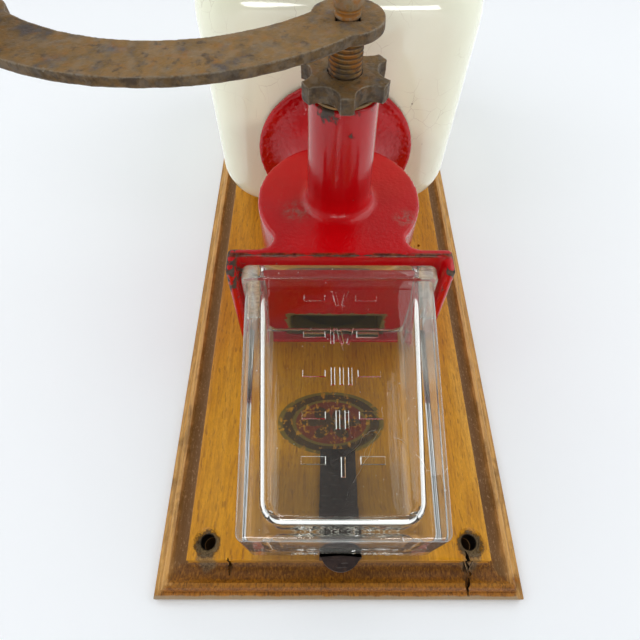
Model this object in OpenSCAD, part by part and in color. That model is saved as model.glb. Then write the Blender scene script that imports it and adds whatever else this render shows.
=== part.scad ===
// Wall mounted coffee mill: a cast grinder, a ceramic bean jar and a glass cup on a moulded board.
// Inside the modules x runs to the right, y up the wall and z out from the wall, in millimetres,
// from the centre of the board's back face. The finished part stands upright with +Z up and the
// wall behind it on the +Y side.

/* [Board] */
// Width of the board
board_w = 140; // [132:1:180]
// Height of the board
board_h = 380; // [372:1:460]
// Thickness of the board at its raised panel
board_t = 11; // [9:0.5:16]
// Thickness of the square outer edge
board_edge_t = 3; // [2:0.25:4]
// Width of the flat ledge outside the bead
board_ledge_w = 2.4; // [1:0.2:4]
// Radius of the bead of the moulding
board_bead_r = 2.8; // [2:0.2:3.6]
// Radius of the cove between bead and panel
board_cove_r = 4.6; // [3.8:0.2:5.4]
// Width of the whole moulding, from the edge to the panel
moulding_w = 12.4; // [11:0.2:15]
// Distance of the wall screw holes from the side edges
wall_screw_inset_x = 19.5; // [16:0.5:26]
// Distance of the wall screw holes from the top and bottom edges
wall_screw_inset_y = 19; // [16:0.5:24]
// Radius of the wall screw holes
wall_screw_r = 2.75; // [2:0.05:3.5]
// Radius of the countersink of the wall screw holes
wall_sink_r = 5; // [4:0.25:6]
// Depth of the countersink
wall_sink_h = 2.4; // [1:0.2:4]

/* [Grinder housing] */
// Height of the spindle above the middle of the board
spindle_y = -50; // [-56:0.5:-46]
// Outer radius of the drum
drum_r = 33; // [32:0.5:40]
// Depth of the drum, from its back to its front face
drum_depth = 60; // [58:0.5:66]
// Thickness of the drum's front wall
front_wall_t = 6; // [4:0.5:8]
// Radius of the bean chamber
chamber_r = 23.5; // [21:0.25:24.5]
// Radius of the seat of the ring burr, and of the grounds chamber behind it
burr_seat_r = 26; // [25:0.25:26.5]
// Radius of the boss where it leaves the drum
boss_base_r = 12.8; // [11.5:0.1:14]
// Radius of the boss at its end
boss_end_r = 11.9; // [10:0.1:12.5]
// Length of the boss
boss_l = 46.2; // [40:0.2:56]
// Radius of the fillet at the foot of the boss
boss_fillet_r = 3; // [1:0.25:5]
// Distance from the spindle down to the underside of the hood
hood_drop = 31; // [29:0.5:36]
// Width of the hood
hood_w = 85; // [82:0.5:95]
// Thickness of the hood plate
hood_t = 3.5; // [2.5:0.25:5]
// Height of the side skirts below the hood plate
skirt_h = 8; // [5:0.5:14]
// Thickness of the side skirts
skirt_t = 3.6; // [2.5:0.1:3.8]
// Radius of the rounded shoulders of the hood
hood_corner_r = 2; // [0.5:0.25:2.25]
// Radius of the fillet between drum and hood
neck_fillet_r = 5; // [3:0.25:7]
// Width of the outlet slot for the grounds
outlet_w = 42; // [30:1:45]
// Wall left behind the outlet slot
outlet_wall_t = 1.5; // [1:0.25:3]
// Distance from the spindle up to the seat of the bean jar
throat_h = 51; // [49:0.5:60]
// Distance of the throat's axis in front of the panel
throat_out = 44; // [42.5:0.25:46]
// Radius of the throat where it leaves the drum
throat_r = 16.5; // [14:0.25:17.5]
// Radius of the flange under the bean jar
flange_r = 37.4; // [34:0.2:40]
// Thickness of the flange at its rim, above the curl
flange_t = 2.5; // [1.5:0.25:5]
// Radius of the trumpet curl under the flange
throat_curl_r = 19; // [12:0.5:21]
// Radius of the funnel at the flange
funnel_r = 23; // [18:0.5:25]
// Radius of the port from the funnel into the bean chamber
port_r = 8.5; // [6:0.25:9]
// Distance between the port and the ring burr behind it
port_gap = 0.5; // [0.25:0.25:2]

/* [Back plate and casting screws] */
// Thickness of the plate that closes the drum's back
back_plate_t = 2; // [1.5:0.25:4]
// Width of the apron under the plate
apron_w = 64; // [46:1:65]
// Distance from the spindle to the apron's lower edge
apron_drop = 35; // [33:0.5:38]
// Radius of the screws that hold the casting to the board
casting_screw_r = 2; // [1.5:0.05:2.2]
// Radius of the casting screw heads
casting_head_r = 4; // [3.5:0.1:5]
// Height of the casting screw heads
casting_head_h = 2.4; // [1.5:0.1:3.5]
// Depth of the counterbores behind the board
casting_sink_h = 3; // [2.5:0.1:4]
// Depth that the casting screws reach into the casting
casting_grip = 10; // [6:0.5:14]
// Angle of the casting screws above and below the spindle
casting_screw_angle = 30; // [26:1:34]

/* [Burrs] */
// Length of the ring burr
ring_l = 17; // [14:0.5:19]
// Radius inside the ring burr's teeth at its back end
ring_back_r = 20.5; // [19:0.25:21.5]
// Radius inside the ring burr's teeth at its front end
ring_front_r = 15.5; // [14.5:0.25:17]
// Number of teeth in the ring burr
ring_teeth = 14; // [10:1:18]
// Height of the teeth on both burrs
tooth_h = 1.5; // [1:0.1:2]
// Length of the cone burr
cone_l = 23; // [21.5:0.25:24]
// Distance that the cone burr stands out behind the ring burr
cone_behind = 2; // [1:0.25:3]
// Gap between the burrs at their back end
burr_gap_back = 0.6; // [0.4:0.05:1]
// Gap between the burrs at their front end
burr_gap_front = 3.5; // [2.5:0.1:4]
// Number of teeth on the cone burr
cone_teeth = 10; // [8:1:14]
// Twist of the burr teeth over the ring burr's length
tooth_twist = 22; // [10:1:30]
// Radius of the two dowels that keep the ring burr from turning
dowel_r = 1.5; // [1:0.1:1.6]
// Length of the dowels
dowel_l = 14; // [10:0.5:14]

/* [Spindle] */
// Radius of the spindle
spindle_r = 5.4; // [4.5:0.1:5.8]
// Distance of the spindle's tail from the back plate
tail_gap = 4; // [2:0.25:5]
// Length of the thread between the boss and the crank
thread_l = 20.1; // [16:0.1:30]
// Side of the square that drives the crank
drive_square = 7; // [6:0.1:7.6]
// Radius of the stud for the crank nut
stud_r = 3.3; // [2.5:0.05:3.4]
// Height of the nut behind the cone burr
burr_nut_h = 5; // [3:0.25:5.5]
// Width across the corners of the nut behind the cone burr
burr_nut_w = 19; // [15:0.5:21]

/* [Burr spring] */
// Radius of the spring's wire
spring_wire_r = 0.8; // [0.5:0.05:0.9]
// Mean radius of the spring's curls
spring_r = 8.2; // [7.5:0.1:8.6]
// Number of curls
spring_curls = 5; // [3:1:6]

/* [Adjusting nut] */
// Thickness of the washer on the boss
adjust_washer_t = 0.9; // [0.6:0.1:2]
// Radius of the washer on the boss
adjust_washer_r = 11.2; // [10:0.1:12]
// Thickness of the star nut
star_t = 5.8; // [4:0.2:8]
// Radius to the tips of the star nut
star_r = 15; // [13:0.25:17]
// Radius of the scallops between the tips
star_scallop_r = 6; // [4:0.25:6.5]
// Distance of the scallops' middles from the spindle
star_scallop_at = 16.6; // [15.6:0.1:18]
// Number of tips
star_tips = 6; // [5:1:7]
// Angle of the first tip
star_angle = 32; // [0:1:60]

/* [Crank] */
// Thickness of the crank arm
arm_t = 3.2; // [2.4:0.2:6]
// Width of the crank arm
arm_w = 17.5; // [14:0.5:20]
// Radius of the eye on the spindle
eye_r = 11; // [10:0.25:13]
// Height of the tapered collar under the eye
eye_collar_h = 1.2; // [0.6:0.2:4]
// Radius of the collar at its foot
eye_collar_r = 9; // [7.5:0.25:11]
// Distance from the spindle to the knob
crank_l = 110; // [95:1:140]
// Radius of the sickle curve of the arm
arm_curve_r = 77.5; // [72:0.5:120]
// Radius of the eye under the knob
knob_eye_r = 11.5; // [9:0.25:14]
// Radius of the crank nut
crank_nut_r = 4.4; // [3.9:0.1:6]
// Height of the crank nut without its dome
crank_nut_h = 9.5; // [6:0.25:10]
// Height of the dome of the crank nut
crank_nut_dome_h = 2.2; // [1:0.1:3.5]
// Height of the narrow foot of the crank nut
crank_nut_foot_h = 1.5; // [0.5:0.25:3]
// Radius of the narrow foot of the crank nut
crank_nut_foot_r = 3.8; // [3.6:0.05:4.2]

/* [Knob] */
// Height of the wooden knob
knob_h = 37; // [33:0.5:39]
// Greatest radius of the knob
knob_r = 14.5; // [13:0.25:17]
// Height of the knob's widest place above its foot
knob_wide_at = 25; // [22:0.5:28]
// Radius of the knob's foot
knob_foot_r = 8.2; // [7:0.2:9]
// Radius of the knob's neck
knob_neck_r = 6.6; // [5.5:0.1:7]
// Height of the knob's neck above its foot
knob_neck_at = 6; // [4:0.5:8]
// Height of the straight band at the knob's foot
knob_foot_h = 1.5; // [0.5:0.25:3]
// Radius where the neck runs into the round top of the knob
knob_shoulder_r = 9.6; // [8.5:0.1:11]
// Radius of the pin through the knob
pin_r = 3.2; // [2.5:0.1:3.6]
// Radius of the pin's heads
pin_head_r = 5; // [4.5:0.1:6]
// Height of the pin's domed head
pin_head_h = 2.4; // [1.5:0.1:4]
// Height of the riveted head under the arm
pin_rivet_h = 1.2; // [0.8:0.1:2]
// Radius of the washer under the knob
knob_washer_r = 7.4; // [6.5:0.1:9]
// Thickness of the washer under the knob
knob_washer_t = 1; // [0.6:0.1:2]

/* [Bean jar] */
// Width of the jar
jar_w = 120; // [112:1:134]
// Depth of the jar
jar_d = 123; // [112:1:124]
// Height of the jar
jar_h = 135; // [120:1:150]
// Thickness of the jar's wall
jar_wall = 6; // [4:0.25:8]
// Radius of the jar's upright corners
jar_corner_r = 24; // [20:0.5:30]
// Radius of the jar's bottom edge
jar_bottom_r = 18; // [12:0.5:19]
// Thickness of the gasket under the jar
gasket_t = 1.5; // [1:0.25:4]
// Distance of the gasket's edge inside the flange's edge
gasket_inset = 2.8; // [0.2:0.2:5]
// Distance of the jar's screws above the jar's bottom
jar_screw_at = 104; // [90:1:110]
// Distance between the jar's two screws
jar_screw_gap = 50; // [40:1:60]
// Radius of the jar's screws
jar_screw_r = 1.75; // [1.5:0.05:2.5]
// Length that the jar's screws reach into the board
jar_screw_grip = 8; // [6:0.25:8.5]
// Radius of the jar's screw heads
jar_head_r = 4; // [3.5:0.1:5]
// Height of the jar's screw heads
jar_head_h = 2.2; // [1.5:0.1:3]
// Radius of the washers under the jar's screw heads
jar_washer_r = 6.5; // [5.5:0.1:8]
// Thickness of the washers under the jar's screw heads
jar_washer_t = 1.5; // [1:0.1:2.5]

/* [Lid] */
// Thickness of the lid's plate
lid_t = 4.5; // [3:0.25:7]
// Height of the raised field on the lid
lid_field_t = 2.5; // [1.5:0.25:5]
// Distance of the raised field from the lid's edge
lid_field_inset = 9; // [6:0.5:14]
// Depth of the rim that drops into the jar
lid_rim_h = 6; // [4:0.5:10]
// Thickness of that rim
lid_rim_t = 4; // [3:0.25:6]
// Radius of the lid's knob
lid_knob_r = 11; // [9:0.25:14]
// Radius of the neck of the lid's knob
lid_neck_r = 7; // [5:0.25:8]
// Height of the neck of the lid's knob
lid_neck_h = 5; // [3:0.25:8]

/* [Glass cup] */
// Height of the cup
cup_h = 95; // [85:0.5:100]
// Width of the cup's body at the top
cup_top_w = 72.4; // [68:0.2:73]
// Width of the cup's body at the bottom
cup_bottom_w = 67.2; // [62:0.2:70]
// Depth of the cup's body at the top
cup_top_d = 52.4; // [48:0.2:56]
// Depth of the cup's body at the bottom
cup_bottom_d = 39.4; // [36:0.2:50]
// Height of the thicker rim
cup_rim_h = 6.3; // [4:0.1:9]
// Distance that the rim stands out over the body
cup_rim_out = 1.4; // [0.8:0.1:1.6]
// Distance that the rim stands out behind the body
cup_rim_back = 0.3; // [0.2:0.05:0.6]
// Thickness of the cup's wall at the top
cup_wall = 5; // [4:0.25:7]
// Thickness of the cup's bottom
cup_bottom_t = 7; // [5:0.25:10]
// Radius of the outer upright corners
cup_corner_r = 4; // [2.5:0.25:6]
// Radius of the upright corners of the cavity
cup_cavity_r = 9; // [8:0.25:11]
// Radius of the cavity's bottom edge
cup_floor_r = 7; // [4:0.25:7.5]
// Height of the straight foot of the glass body
cup_foot_h = 0.5; // [0.3:0.1:2]

/* [Cup catch] */
// Width of the spring strap
catch_w = 15; // [11:0.5:18]
// Thickness of the spring strap
catch_t = 1.2; // [0.8:0.1:1.4]
// Distance from the cup's bottom up to the strap's screw
catch_screw_up = 35; // [28:0.5:45]
// Half length of the flat pad round the screw
catch_pad = 5; // [4.5:0.25:5.5]
// Distance that the strap's lower end springs out from the board
catch_spring_out = 1.6; // [1:0.1:1.8]
// Length of the ledge under the cup
catch_ledge = 12; // [8:0.5:20]
// Distance that the thumb tab hangs below the ledge
catch_tab = 4.6; // [3:0.2:8]
// Radius of the round thumb tab
catch_tab_r = 7.5; // [5.5:0.25:9]
// Radius of the strap's screw
catch_screw_r = 1.8; // [1.4:0.1:2.2]
// Length that the strap's screw reaches into the board
catch_screw_grip = 8; // [6:0.25:8.5]
// Radius of the strap's screw head
catch_head_r = 3.6; // [3:0.1:4.2]
// Height of the strap's screw head
catch_head_h = 1.3; // [1:0.1:1.5]

/* [Clearances] */
// Radial clearance of a turning fit
run_gap = 0.05; // [0.02:0.01:0.1]
// Radial clearance of a screw, dowel or burr in its hole
fit_gap = 0.1; // [0.05:0.01:0.2]
// Gap between faces that slide or turn past each other
face_gap = 0.3; // [0.2:0.05:0.4]
// Gap between the cup and the hood above it
cup_gap = 0.5; // [0.3:0.05:1]
// Gap between the cup's back and the strap behind it
cup_back_gap = 0.5; // [0.3:0.05:1]
// Gap round the lid's rim, and behind the lid
lid_gap = 0.8; // [0.5:0.05:1.5]

/* [Hidden] */

// Fineness of true curves, and of the few hulled forms
$fn = 64;
hull_fn = 32;
// Overshoot of a cut past the face that it opens
over = 1;
// Tapped holes run this much deeper than their screws
hole_rest = 1;
// The cove's round runs this far under the edge of the panel
cove_under = 1;
// Corners of a burr tooth, as shares of the pitch from one tooth to the next
groove_end = 0.5;
crest_start = 0.62;
crest_end = 0.88;
// Steps along the twist of the burr teeth
tooth_slices = 8;

// Colours
beech = [0.72, 0.49, 0.20];
red_paint = [0.66, 0.07, 0.08];
rusty_iron = [0.42, 0.31, 0.22];
bare_steel = [0.45, 0.44, 0.42];
black_steel = [0.10, 0.10, 0.10];
cream_glaze = [0.90, 0.88, 0.78];
clear_glass = [0.80, 0.86, 0.84, 0.45];
dark_felt = [0.30, 0.27, 0.24];
stained_wood = [0.40, 0.24, 0.12];

// Places along z, out from the wall
casting_back = board_t + back_plate_t;
drum_front = casting_back + drum_depth;
chamber_front = drum_front - front_wall_t;
boss_end = drum_front + boss_l;
throat_z = board_t + throat_out;
ring_front = throat_z - port_r - port_gap;
ring_back = ring_front - ring_l;
cone_back = ring_back - cone_behind;
cone_front = cone_back + cone_l;
tail_end = casting_back + tail_gap;
arm_seat = boss_end + thread_l;
arm_top = arm_seat + arm_t;
knob_foot = arm_top + knob_washer_t + face_gap;
knob_top = knob_foot + knob_h;
cup_back = board_t + face_gap + catch_spring_out + catch_t + cup_back_gap;
jar_z = board_t + jar_d / 2;

// Places along y, up the wall
hood_under = spindle_y - hood_drop;
jar_bottom = spindle_y + throat_h + gasket_t;
jar_top = jar_bottom + jar_h;
jar_screw_y = jar_bottom + jar_screw_at;
cup_top = hood_under - cup_gap;
cup_bottom = cup_top - cup_h;
catch_screw_y = cup_bottom + catch_screw_up;
ledge_top = cup_bottom - face_gap;

// Fillet circles between the drum and the hood, seen from the front, from the spindle
fillet_y = -hood_drop + hood_t + neck_fillet_r;
fillet_x = sqrt(pow(drum_r + neck_fillet_r, 2) - pow(fillet_y, 2));
fillet_share = drum_r / (drum_r + neck_fillet_r);

// Casting screws sit in the middle of the drum's wall
casting_screw_at = (drum_r + burr_seat_r) / 2;
casting_screw_angles = [casting_screw_angle, 180 - casting_screw_angle,
                        180 + casting_screw_angle, -casting_screw_angle];

// Radii inside the ring burr and outside the cone burr, at any place along the spindle
ring_slope = (ring_front_r - ring_back_r) / ring_l;
cone_slope = ring_slope - (burr_gap_front - burr_gap_back) / ring_l;
function ring_r(z) = ring_back_r + ring_slope * (z - ring_back);
function cone_r(z) = ring_back_r - burr_gap_back + cone_slope * (z - ring_back);

// Centre of the sickle curve of the crank arm, from the spindle
arm_curve_x = -crank_l / 2;
arm_curve_y = sqrt(pow(arm_curve_r, 2) - pow(crank_l / 2, 2));

// Helpers that place things

module stand_upright() {
    rotate([90, 0, 0]) children();
}

module at_spindle(z = 0) {
    translate([0, spindle_y, z]) children();
}

module at_knob(z = 0) {
    translate([-crank_l, spindle_y, z]) children();
}

module along_y() {
    rotate([-90, 0, 0]) children();
}

module at_casting_screws() {
    for (angle = casting_screw_angles)
        at_spindle() rotate([0, 0, angle]) translate([casting_screw_at, 0, 0]) children();
}

module at_jar_screws() {
    for (side = [-1, 1]) translate([side * jar_screw_gap / 2, jar_screw_y, 0]) children();
}

module at_wall_screws() {
    out_x = board_w / 2 - wall_screw_inset_x;
    out_y = board_h / 2 - wall_screw_inset_y;
    for (side = [-1, 1], end = [-1, 1]) translate([side * out_x, end * out_y, 0]) children();
}

module rounded_rect(w, h, r) {
    square([w - 2 * r, h], center = true);
    square([w, h - 2 * r], center = true);
    for (sx = [-1, 1], sy = [-1, 1]) translate([sx * (w / 2 - r), sy * (h / 2 - r)]) circle(r);
}

module dome(r, h) {
    sphere_r = (r * r + h * h) / (2 * h);
    intersection() {
        translate([0, 0, h - sphere_r]) sphere(sphere_r);
        cylinder(r = r, h = h);
    }
}

module round_foot_post(r, foot_r, h) {
    rotate_extrude($fn = hull_fn) {
        translate([0, foot_r]) square([r, h - foot_r]);
        square([r - foot_r, h]);
        intersection() {
            translate([r - foot_r, foot_r]) circle(foot_r, $fn = hull_fn);
            square([r, h]);
        }
    }
}

// Board with its bead and cove moulding

module board_section(span) {
    half = span / 2;
    bead_top = board_edge_t + board_bead_r;
    bead_at = half - board_ledge_w - board_bead_r;
    difference() {
        union() {
            translate([-half, 0]) square([span, board_edge_t]);
            translate([-bead_at, 0]) square([2 * bead_at, bead_top]);
            for (side = [-1, 1]) translate([side * bead_at, board_edge_t]) circle(board_bead_r);
        }
        translate([-half, -board_bead_r]) square([span, board_bead_r]);
        for (side = [-1, 1])
            translate([side * (half - moulding_w + board_cove_r - cove_under), bead_top + board_bead_r])
                circle(board_cove_r);
    }
    translate([moulding_w - half, 0]) square([span - 2 * moulding_w, board_t]);
}

module backboard() {
    color(beech) stand_upright() difference() {
        intersection() {
            rotate([90, 0, 0]) linear_extrude(board_h, center = true) board_section(board_w);
            rotate([90, 0, 90]) linear_extrude(board_w, center = true) board_section(board_h);
        }
        at_wall_screws() {
            translate([0, 0, -over]) cylinder(r = wall_screw_r, h = board_t + 2 * over);
            translate([0, 0, board_t - wall_sink_h])
                cylinder(r1 = wall_screw_r, r2 = wall_sink_r, h = wall_sink_h);
            translate([0, 0, board_t]) cylinder(r = wall_sink_r, h = over);
        }
        at_casting_screws() {
            translate([0, 0, -over]) cylinder(r = casting_screw_r + fit_gap, h = board_t + 2 * over);
            translate([0, 0, -over]) cylinder(r = casting_head_r + fit_gap, h = casting_sink_h + over);
        }
        at_jar_screws() translate([0, 0, board_t - jar_screw_grip - hole_rest])
            cylinder(r = jar_screw_r + fit_gap, h = jar_screw_grip + hole_rest + over);
        translate([0, catch_screw_y, board_t - catch_screw_grip - hole_rest])
            cylinder(r = catch_screw_r + fit_gap, h = catch_screw_grip + hole_rest + over);
    }
}

// Casting of the grinder

module back_plate() {
    color(red_paint) stand_upright() difference() {
        union() {
            at_spindle(board_t) cylinder(r = drum_r, h = back_plate_t);
            translate([-apron_w / 2, spindle_y - apron_drop, board_t])
                cube([apron_w, apron_drop, back_plate_t]);
        }
        at_casting_screws() translate([0, 0, board_t - over])
            cylinder(r = casting_screw_r + fit_gap, h = back_plate_t + 2 * over);
    }
}

module housing_outline() {
    plate_top = hood_t - hood_drop;
    shoulder = hood_w / 2 - hood_corner_r;
    intersection() {
        circle(drum_r);
        translate([-drum_r, -hood_drop]) square([2 * drum_r, hood_drop + drum_r]);
    }
    translate([-hood_w / 2, -hood_drop]) square([hood_w, hood_t - hood_corner_r]);
    translate([-shoulder, -hood_drop]) square([2 * shoulder, hood_t]);
    for (side = [-1, 1]) translate([side * shoulder, plate_top - hood_corner_r]) circle(hood_corner_r);
    difference() {
        polygon([[-fillet_x, -hood_drop], [fillet_x, -hood_drop], [fillet_x, plate_top],
                 [fillet_x * fillet_share, fillet_y * fillet_share],
                 [-fillet_x * fillet_share, fillet_y * fillet_share], [-fillet_x, plate_top]]);
        for (side = [-1, 1]) translate([side * fillet_x, fillet_y]) circle(neck_fillet_r);
    }
}

module boss_shape() {
    rotate_extrude() {
        polygon([[0, -over], [boss_base_r, -over], [boss_base_r, 0], [boss_end_r, boss_l], [0, boss_l]]);
        difference() {
            translate([0, -over]) square([boss_base_r + boss_fillet_r, boss_fillet_r + over]);
            translate([boss_base_r + boss_fillet_r, boss_fillet_r]) circle(boss_fillet_r);
        }
    }
}

module throat_shape() {
    curl_y = throat_h - flange_t - throat_curl_r;
    rotate_extrude() difference() {
        square([flange_r, throat_h]);
        translate([throat_r + throat_curl_r, curl_y]) circle(throat_curl_r);
        translate([throat_r, -over]) square([flange_r, curl_y + over]);
    }
}

module funnel_cut() {
    rotate_extrude() polygon([[0, 0], [port_r, 0], [port_r, drum_r], [funnel_r, throat_h],
                              [funnel_r, throat_h + over], [0, throat_h + over]]);
}

module grinder_housing() {
    skirt_y = hood_under - skirt_h;
    outlet_back = casting_back + outlet_wall_t;
    color(red_paint) stand_upright() difference() {
        union() {
            at_spindle(casting_back) linear_extrude(drum_depth) housing_outline();
            at_spindle(drum_front) boss_shape();
            at_spindle(throat_z) along_y() throat_shape();
            for (side = [0, 1])
                translate([side * (hood_w - skirt_t) - hood_w / 2, skirt_y, casting_back])
                    cube([skirt_t, skirt_h + hood_t / 2, drum_depth]);
        }
        at_spindle(casting_back - over) cylinder(r = burr_seat_r, h = ring_front - casting_back + over);
        at_spindle(ring_front - over) cylinder(r = chamber_r, h = chamber_front - ring_front + over);
        at_spindle(chamber_front - over)
            cylinder(r = spindle_r + run_gap, h = boss_end - chamber_front + 2 * over);
        at_spindle(throat_z) along_y() funnel_cut();
        translate([-outlet_w / 2, hood_under - over, outlet_back])
            cube([outlet_w, hood_drop + over - chamber_r / 2, ring_back - outlet_back]);
        at_casting_screws() translate([0, 0, casting_back - over])
            cylinder(r = casting_screw_r + fit_gap, h = casting_grip + hole_rest + over);
        at_dowels() cylinder(r = dowel_r + fit_gap, h = dowel_l + over);
    }
}

module housing_screws() {
    head_back = casting_sink_h - casting_head_h;
    color(bare_steel) stand_upright() at_casting_screws() {
        translate([0, 0, head_back]) cylinder(r = casting_head_r, h = casting_head_h);
        translate([0, 0, casting_sink_h - over])
            cylinder(r = casting_screw_r, h = casting_back + casting_grip - casting_sink_h + over);
    }
}

// Burrs, spring and spindle

module toothed_outline(crest_r, root_r, teeth) {
    corners = [[0, root_r], [groove_end, root_r], [crest_start, crest_r], [crest_end, crest_r]];
    polygon([for (tooth = [0 : teeth - 1], corner = corners)
        let (angle = (tooth + corner[0]) * 360 / teeth)
        corner[1] * [cos(angle), sin(angle)]]);
}

module at_dowels() {
    for (side = [-1, 1])
        translate([side * burr_seat_r, spindle_y, ring_front - dowel_l]) children();
}

module ring_burr() {
    back = ring_back - over;
    front = ring_front + over;
    taper = ring_r(front) / ring_r(back);
    color(bare_steel) stand_upright() difference() {
        at_spindle(ring_back) cylinder(r = burr_seat_r - fit_gap, h = ring_l);
        at_spindle(back)
            linear_extrude(front - back, scale = taper, twist = tooth_twist, slices = tooth_slices)
                toothed_outline(ring_r(back), ring_r(back) + tooth_h, ring_teeth);
        at_dowels() translate([0, 0, -over]) cylinder(r = dowel_r + fit_gap, h = dowel_l + 2 * over);
    }
}

module burr_dowels() {
    color(bare_steel) stand_upright() at_dowels() cylinder(r = dowel_r, h = dowel_l);
}

module cone_burr() {
    taper = cone_r(cone_front) / cone_r(cone_back);
    color(bare_steel) stand_upright() difference() {
        at_spindle(cone_back)
            linear_extrude(cone_l, scale = taper, twist = -tooth_twist, slices = tooth_slices)
                toothed_outline(cone_r(cone_back), cone_r(cone_back) - tooth_h, cone_teeth);
        at_spindle(cone_back - over) cylinder(r = spindle_r + run_gap, h = cone_l + 2 * over);
    }
}

module burr_nut() {
    nut_back = cone_back - burr_nut_h;
    color(bare_steel) stand_upright() difference() {
        at_spindle(nut_back) cylinder(d = burr_nut_w, h = burr_nut_h, $fn = 6);
        at_spindle(nut_back - over) cylinder(r = spindle_r + run_gap, h = burr_nut_h + 2 * over);
    }
}

// The spring is one tube along a helix, eight rings to a curl and six sides
spring_back = cone_front + fit_gap;
spring_front = chamber_front - face_gap;
spring_rings = 8;
spring_sides = 6;
spring_steps = spring_curls * spring_rings;
spring_rise = (spring_front - spring_back - 2 * spring_wire_r) / spring_steps;
spring_turn = 360 / spring_rings;
function spring_point(i) = [spring_r * cos(i * spring_turn), spring_r * sin(i * spring_turn),
                            spring_back + spring_wire_r + i * spring_rise];
function spring_ring(i) = [for (s = [0 : spring_sides - 1])
    let (a = 360 * s / spring_sides, r = spring_r + spring_wire_r * cos(a), t = i * spring_turn)
    [r * cos(t), r * sin(t), spring_point(i)[2] + spring_wire_r * sin(a)]];
spring_gaps = [for (i = [0 : spring_steps], j = [i + spring_rings / 2 : spring_steps])
    norm(spring_point(i) - spring_point(j)) - 2 * spring_wire_r];
echo(spring_least_gap = min(spring_gaps));

module burr_spring() {
    points = [for (i = [0 : spring_steps]) each spring_ring(i)];
    sides = [for (i = [0 : spring_steps - 1], s = [0 : spring_sides - 1])
        let (a = i * spring_sides + s, b = i * spring_sides + (s + 1) % spring_sides)
        each [[a, b, a + spring_sides], [b, b + spring_sides, a + spring_sides]]];
    first_cap = [for (s = [1 : spring_sides - 2]) [0, s + 1, s]];
    last = spring_steps * spring_sides;
    last_cap = [for (s = [1 : spring_sides - 2]) [last, last + s, last + s + 1]];
    color(bare_steel) stand_upright() at_spindle()
        polyhedron(points, concat(sides, first_cap, last_cap));
}

module spindle() {
    color(rusty_iron) stand_upright() at_spindle() {
        translate([0, 0, tail_end]) cylinder(r = spindle_r, h = arm_seat - tail_end);
        translate([-drive_square / 2, -drive_square / 2, arm_seat - over])
            cube([drive_square, drive_square, arm_t + over]);
        translate([0, 0, arm_seat]) cylinder(r = stud_r, h = arm_t + crank_nut_h - over);
    }
}

// Adjusting nut on the boss

module adjusting_washer() {
    color(rusty_iron) stand_upright() difference() {
        at_spindle(boss_end + fit_gap) cylinder(r = adjust_washer_r, h = adjust_washer_t);
        at_spindle(boss_end - over) cylinder(r = spindle_r + run_gap, h = adjust_washer_t + 3 * over);
    }
}

module adjusting_nut() {
    nut_back = boss_end + 2 * fit_gap + adjust_washer_t;
    scallop_angle = 360 / star_tips;
    color(rusty_iron) stand_upright() difference() {
        at_spindle(nut_back) cylinder(r = star_r, h = star_t);
        for (tip = [0 : star_tips - 1])
            at_spindle(nut_back - over) rotate([0, 0, star_angle + (tip + 0.5) * scallop_angle])
                translate([star_scallop_at, 0, 0]) cylinder(r = star_scallop_r, h = star_t + 2 * over);
        at_spindle(nut_back - over) cylinder(r = spindle_r + run_gap, h = star_t + 2 * over);
    }
}

// Crank with its wooden knob

module arm_outline() {
    reach = 2 * arm_curve_r;
    circle(eye_r);
    translate([-crank_l, 0]) circle(knob_eye_r);
    intersection() {
        translate([arm_curve_x, arm_curve_y]) difference() {
            circle(arm_curve_r + arm_w / 2);
            circle(arm_curve_r - arm_w / 2);
        }
        translate([arm_curve_x, arm_curve_y])
            polygon([[0, 0], reach * [-crank_l / 2, -arm_curve_y] / arm_curve_r, [0, -2 * reach],
                     reach * [crank_l / 2, -arm_curve_y] / arm_curve_r]);
    }
}

module crank_arm() {
    square_hole = drive_square + 2 * run_gap;
    collar_back = arm_seat - eye_collar_h;
    color(rusty_iron) stand_upright() difference() {
        union() {
            at_spindle(arm_seat) linear_extrude(arm_t) arm_outline();
            at_spindle(collar_back) cylinder(r1 = eye_collar_r, r2 = eye_r, h = eye_collar_h);
        }
        at_spindle(arm_seat + arm_t / 2) cube([square_hole, square_hole, arm_t + 2 * over], center = true);
        at_spindle(collar_back - over) cylinder(r = spindle_r + run_gap, h = eye_collar_h + over);
        at_knob(arm_seat - over) cylinder(r = pin_r + run_gap, h = arm_t + 2 * over);
    }
}

module crank_nut() {
    body_h = crank_nut_h - crank_nut_foot_h;
    color(rusty_iron) stand_upright() difference() {
        at_spindle(arm_top) {
            cylinder(r = crank_nut_foot_r, h = crank_nut_foot_h + over);
            translate([0, 0, crank_nut_foot_h]) cylinder(r = crank_nut_r, h = body_h);
            translate([0, 0, crank_nut_h]) dome(crank_nut_r, crank_nut_dome_h);
        }
        at_spindle(arm_top - over) cylinder(r = stud_r + run_gap, h = crank_nut_h + over);
    }
}

module knob_pin() {
    pin_foot = arm_seat - pin_rivet_h;
    pin_neck = knob_top + face_gap;
    color(rusty_iron) stand_upright() at_knob() {
        translate([0, 0, pin_foot]) cylinder(r = pin_head_r, h = pin_rivet_h);
        translate([0, 0, pin_foot]) cylinder(r = pin_r, h = pin_neck - pin_foot + pin_head_h / 2);
        translate([0, 0, pin_neck]) dome(pin_head_r, pin_head_h);
    }
}

module knob_washer() {
    color(rusty_iron) stand_upright() difference() {
        at_knob(arm_top) cylinder(r = knob_washer_r, h = knob_washer_t);
        at_knob(arm_top - over) cylinder(r = pin_r + run_gap, h = knob_washer_t + 2 * over);
    }
}

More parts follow.
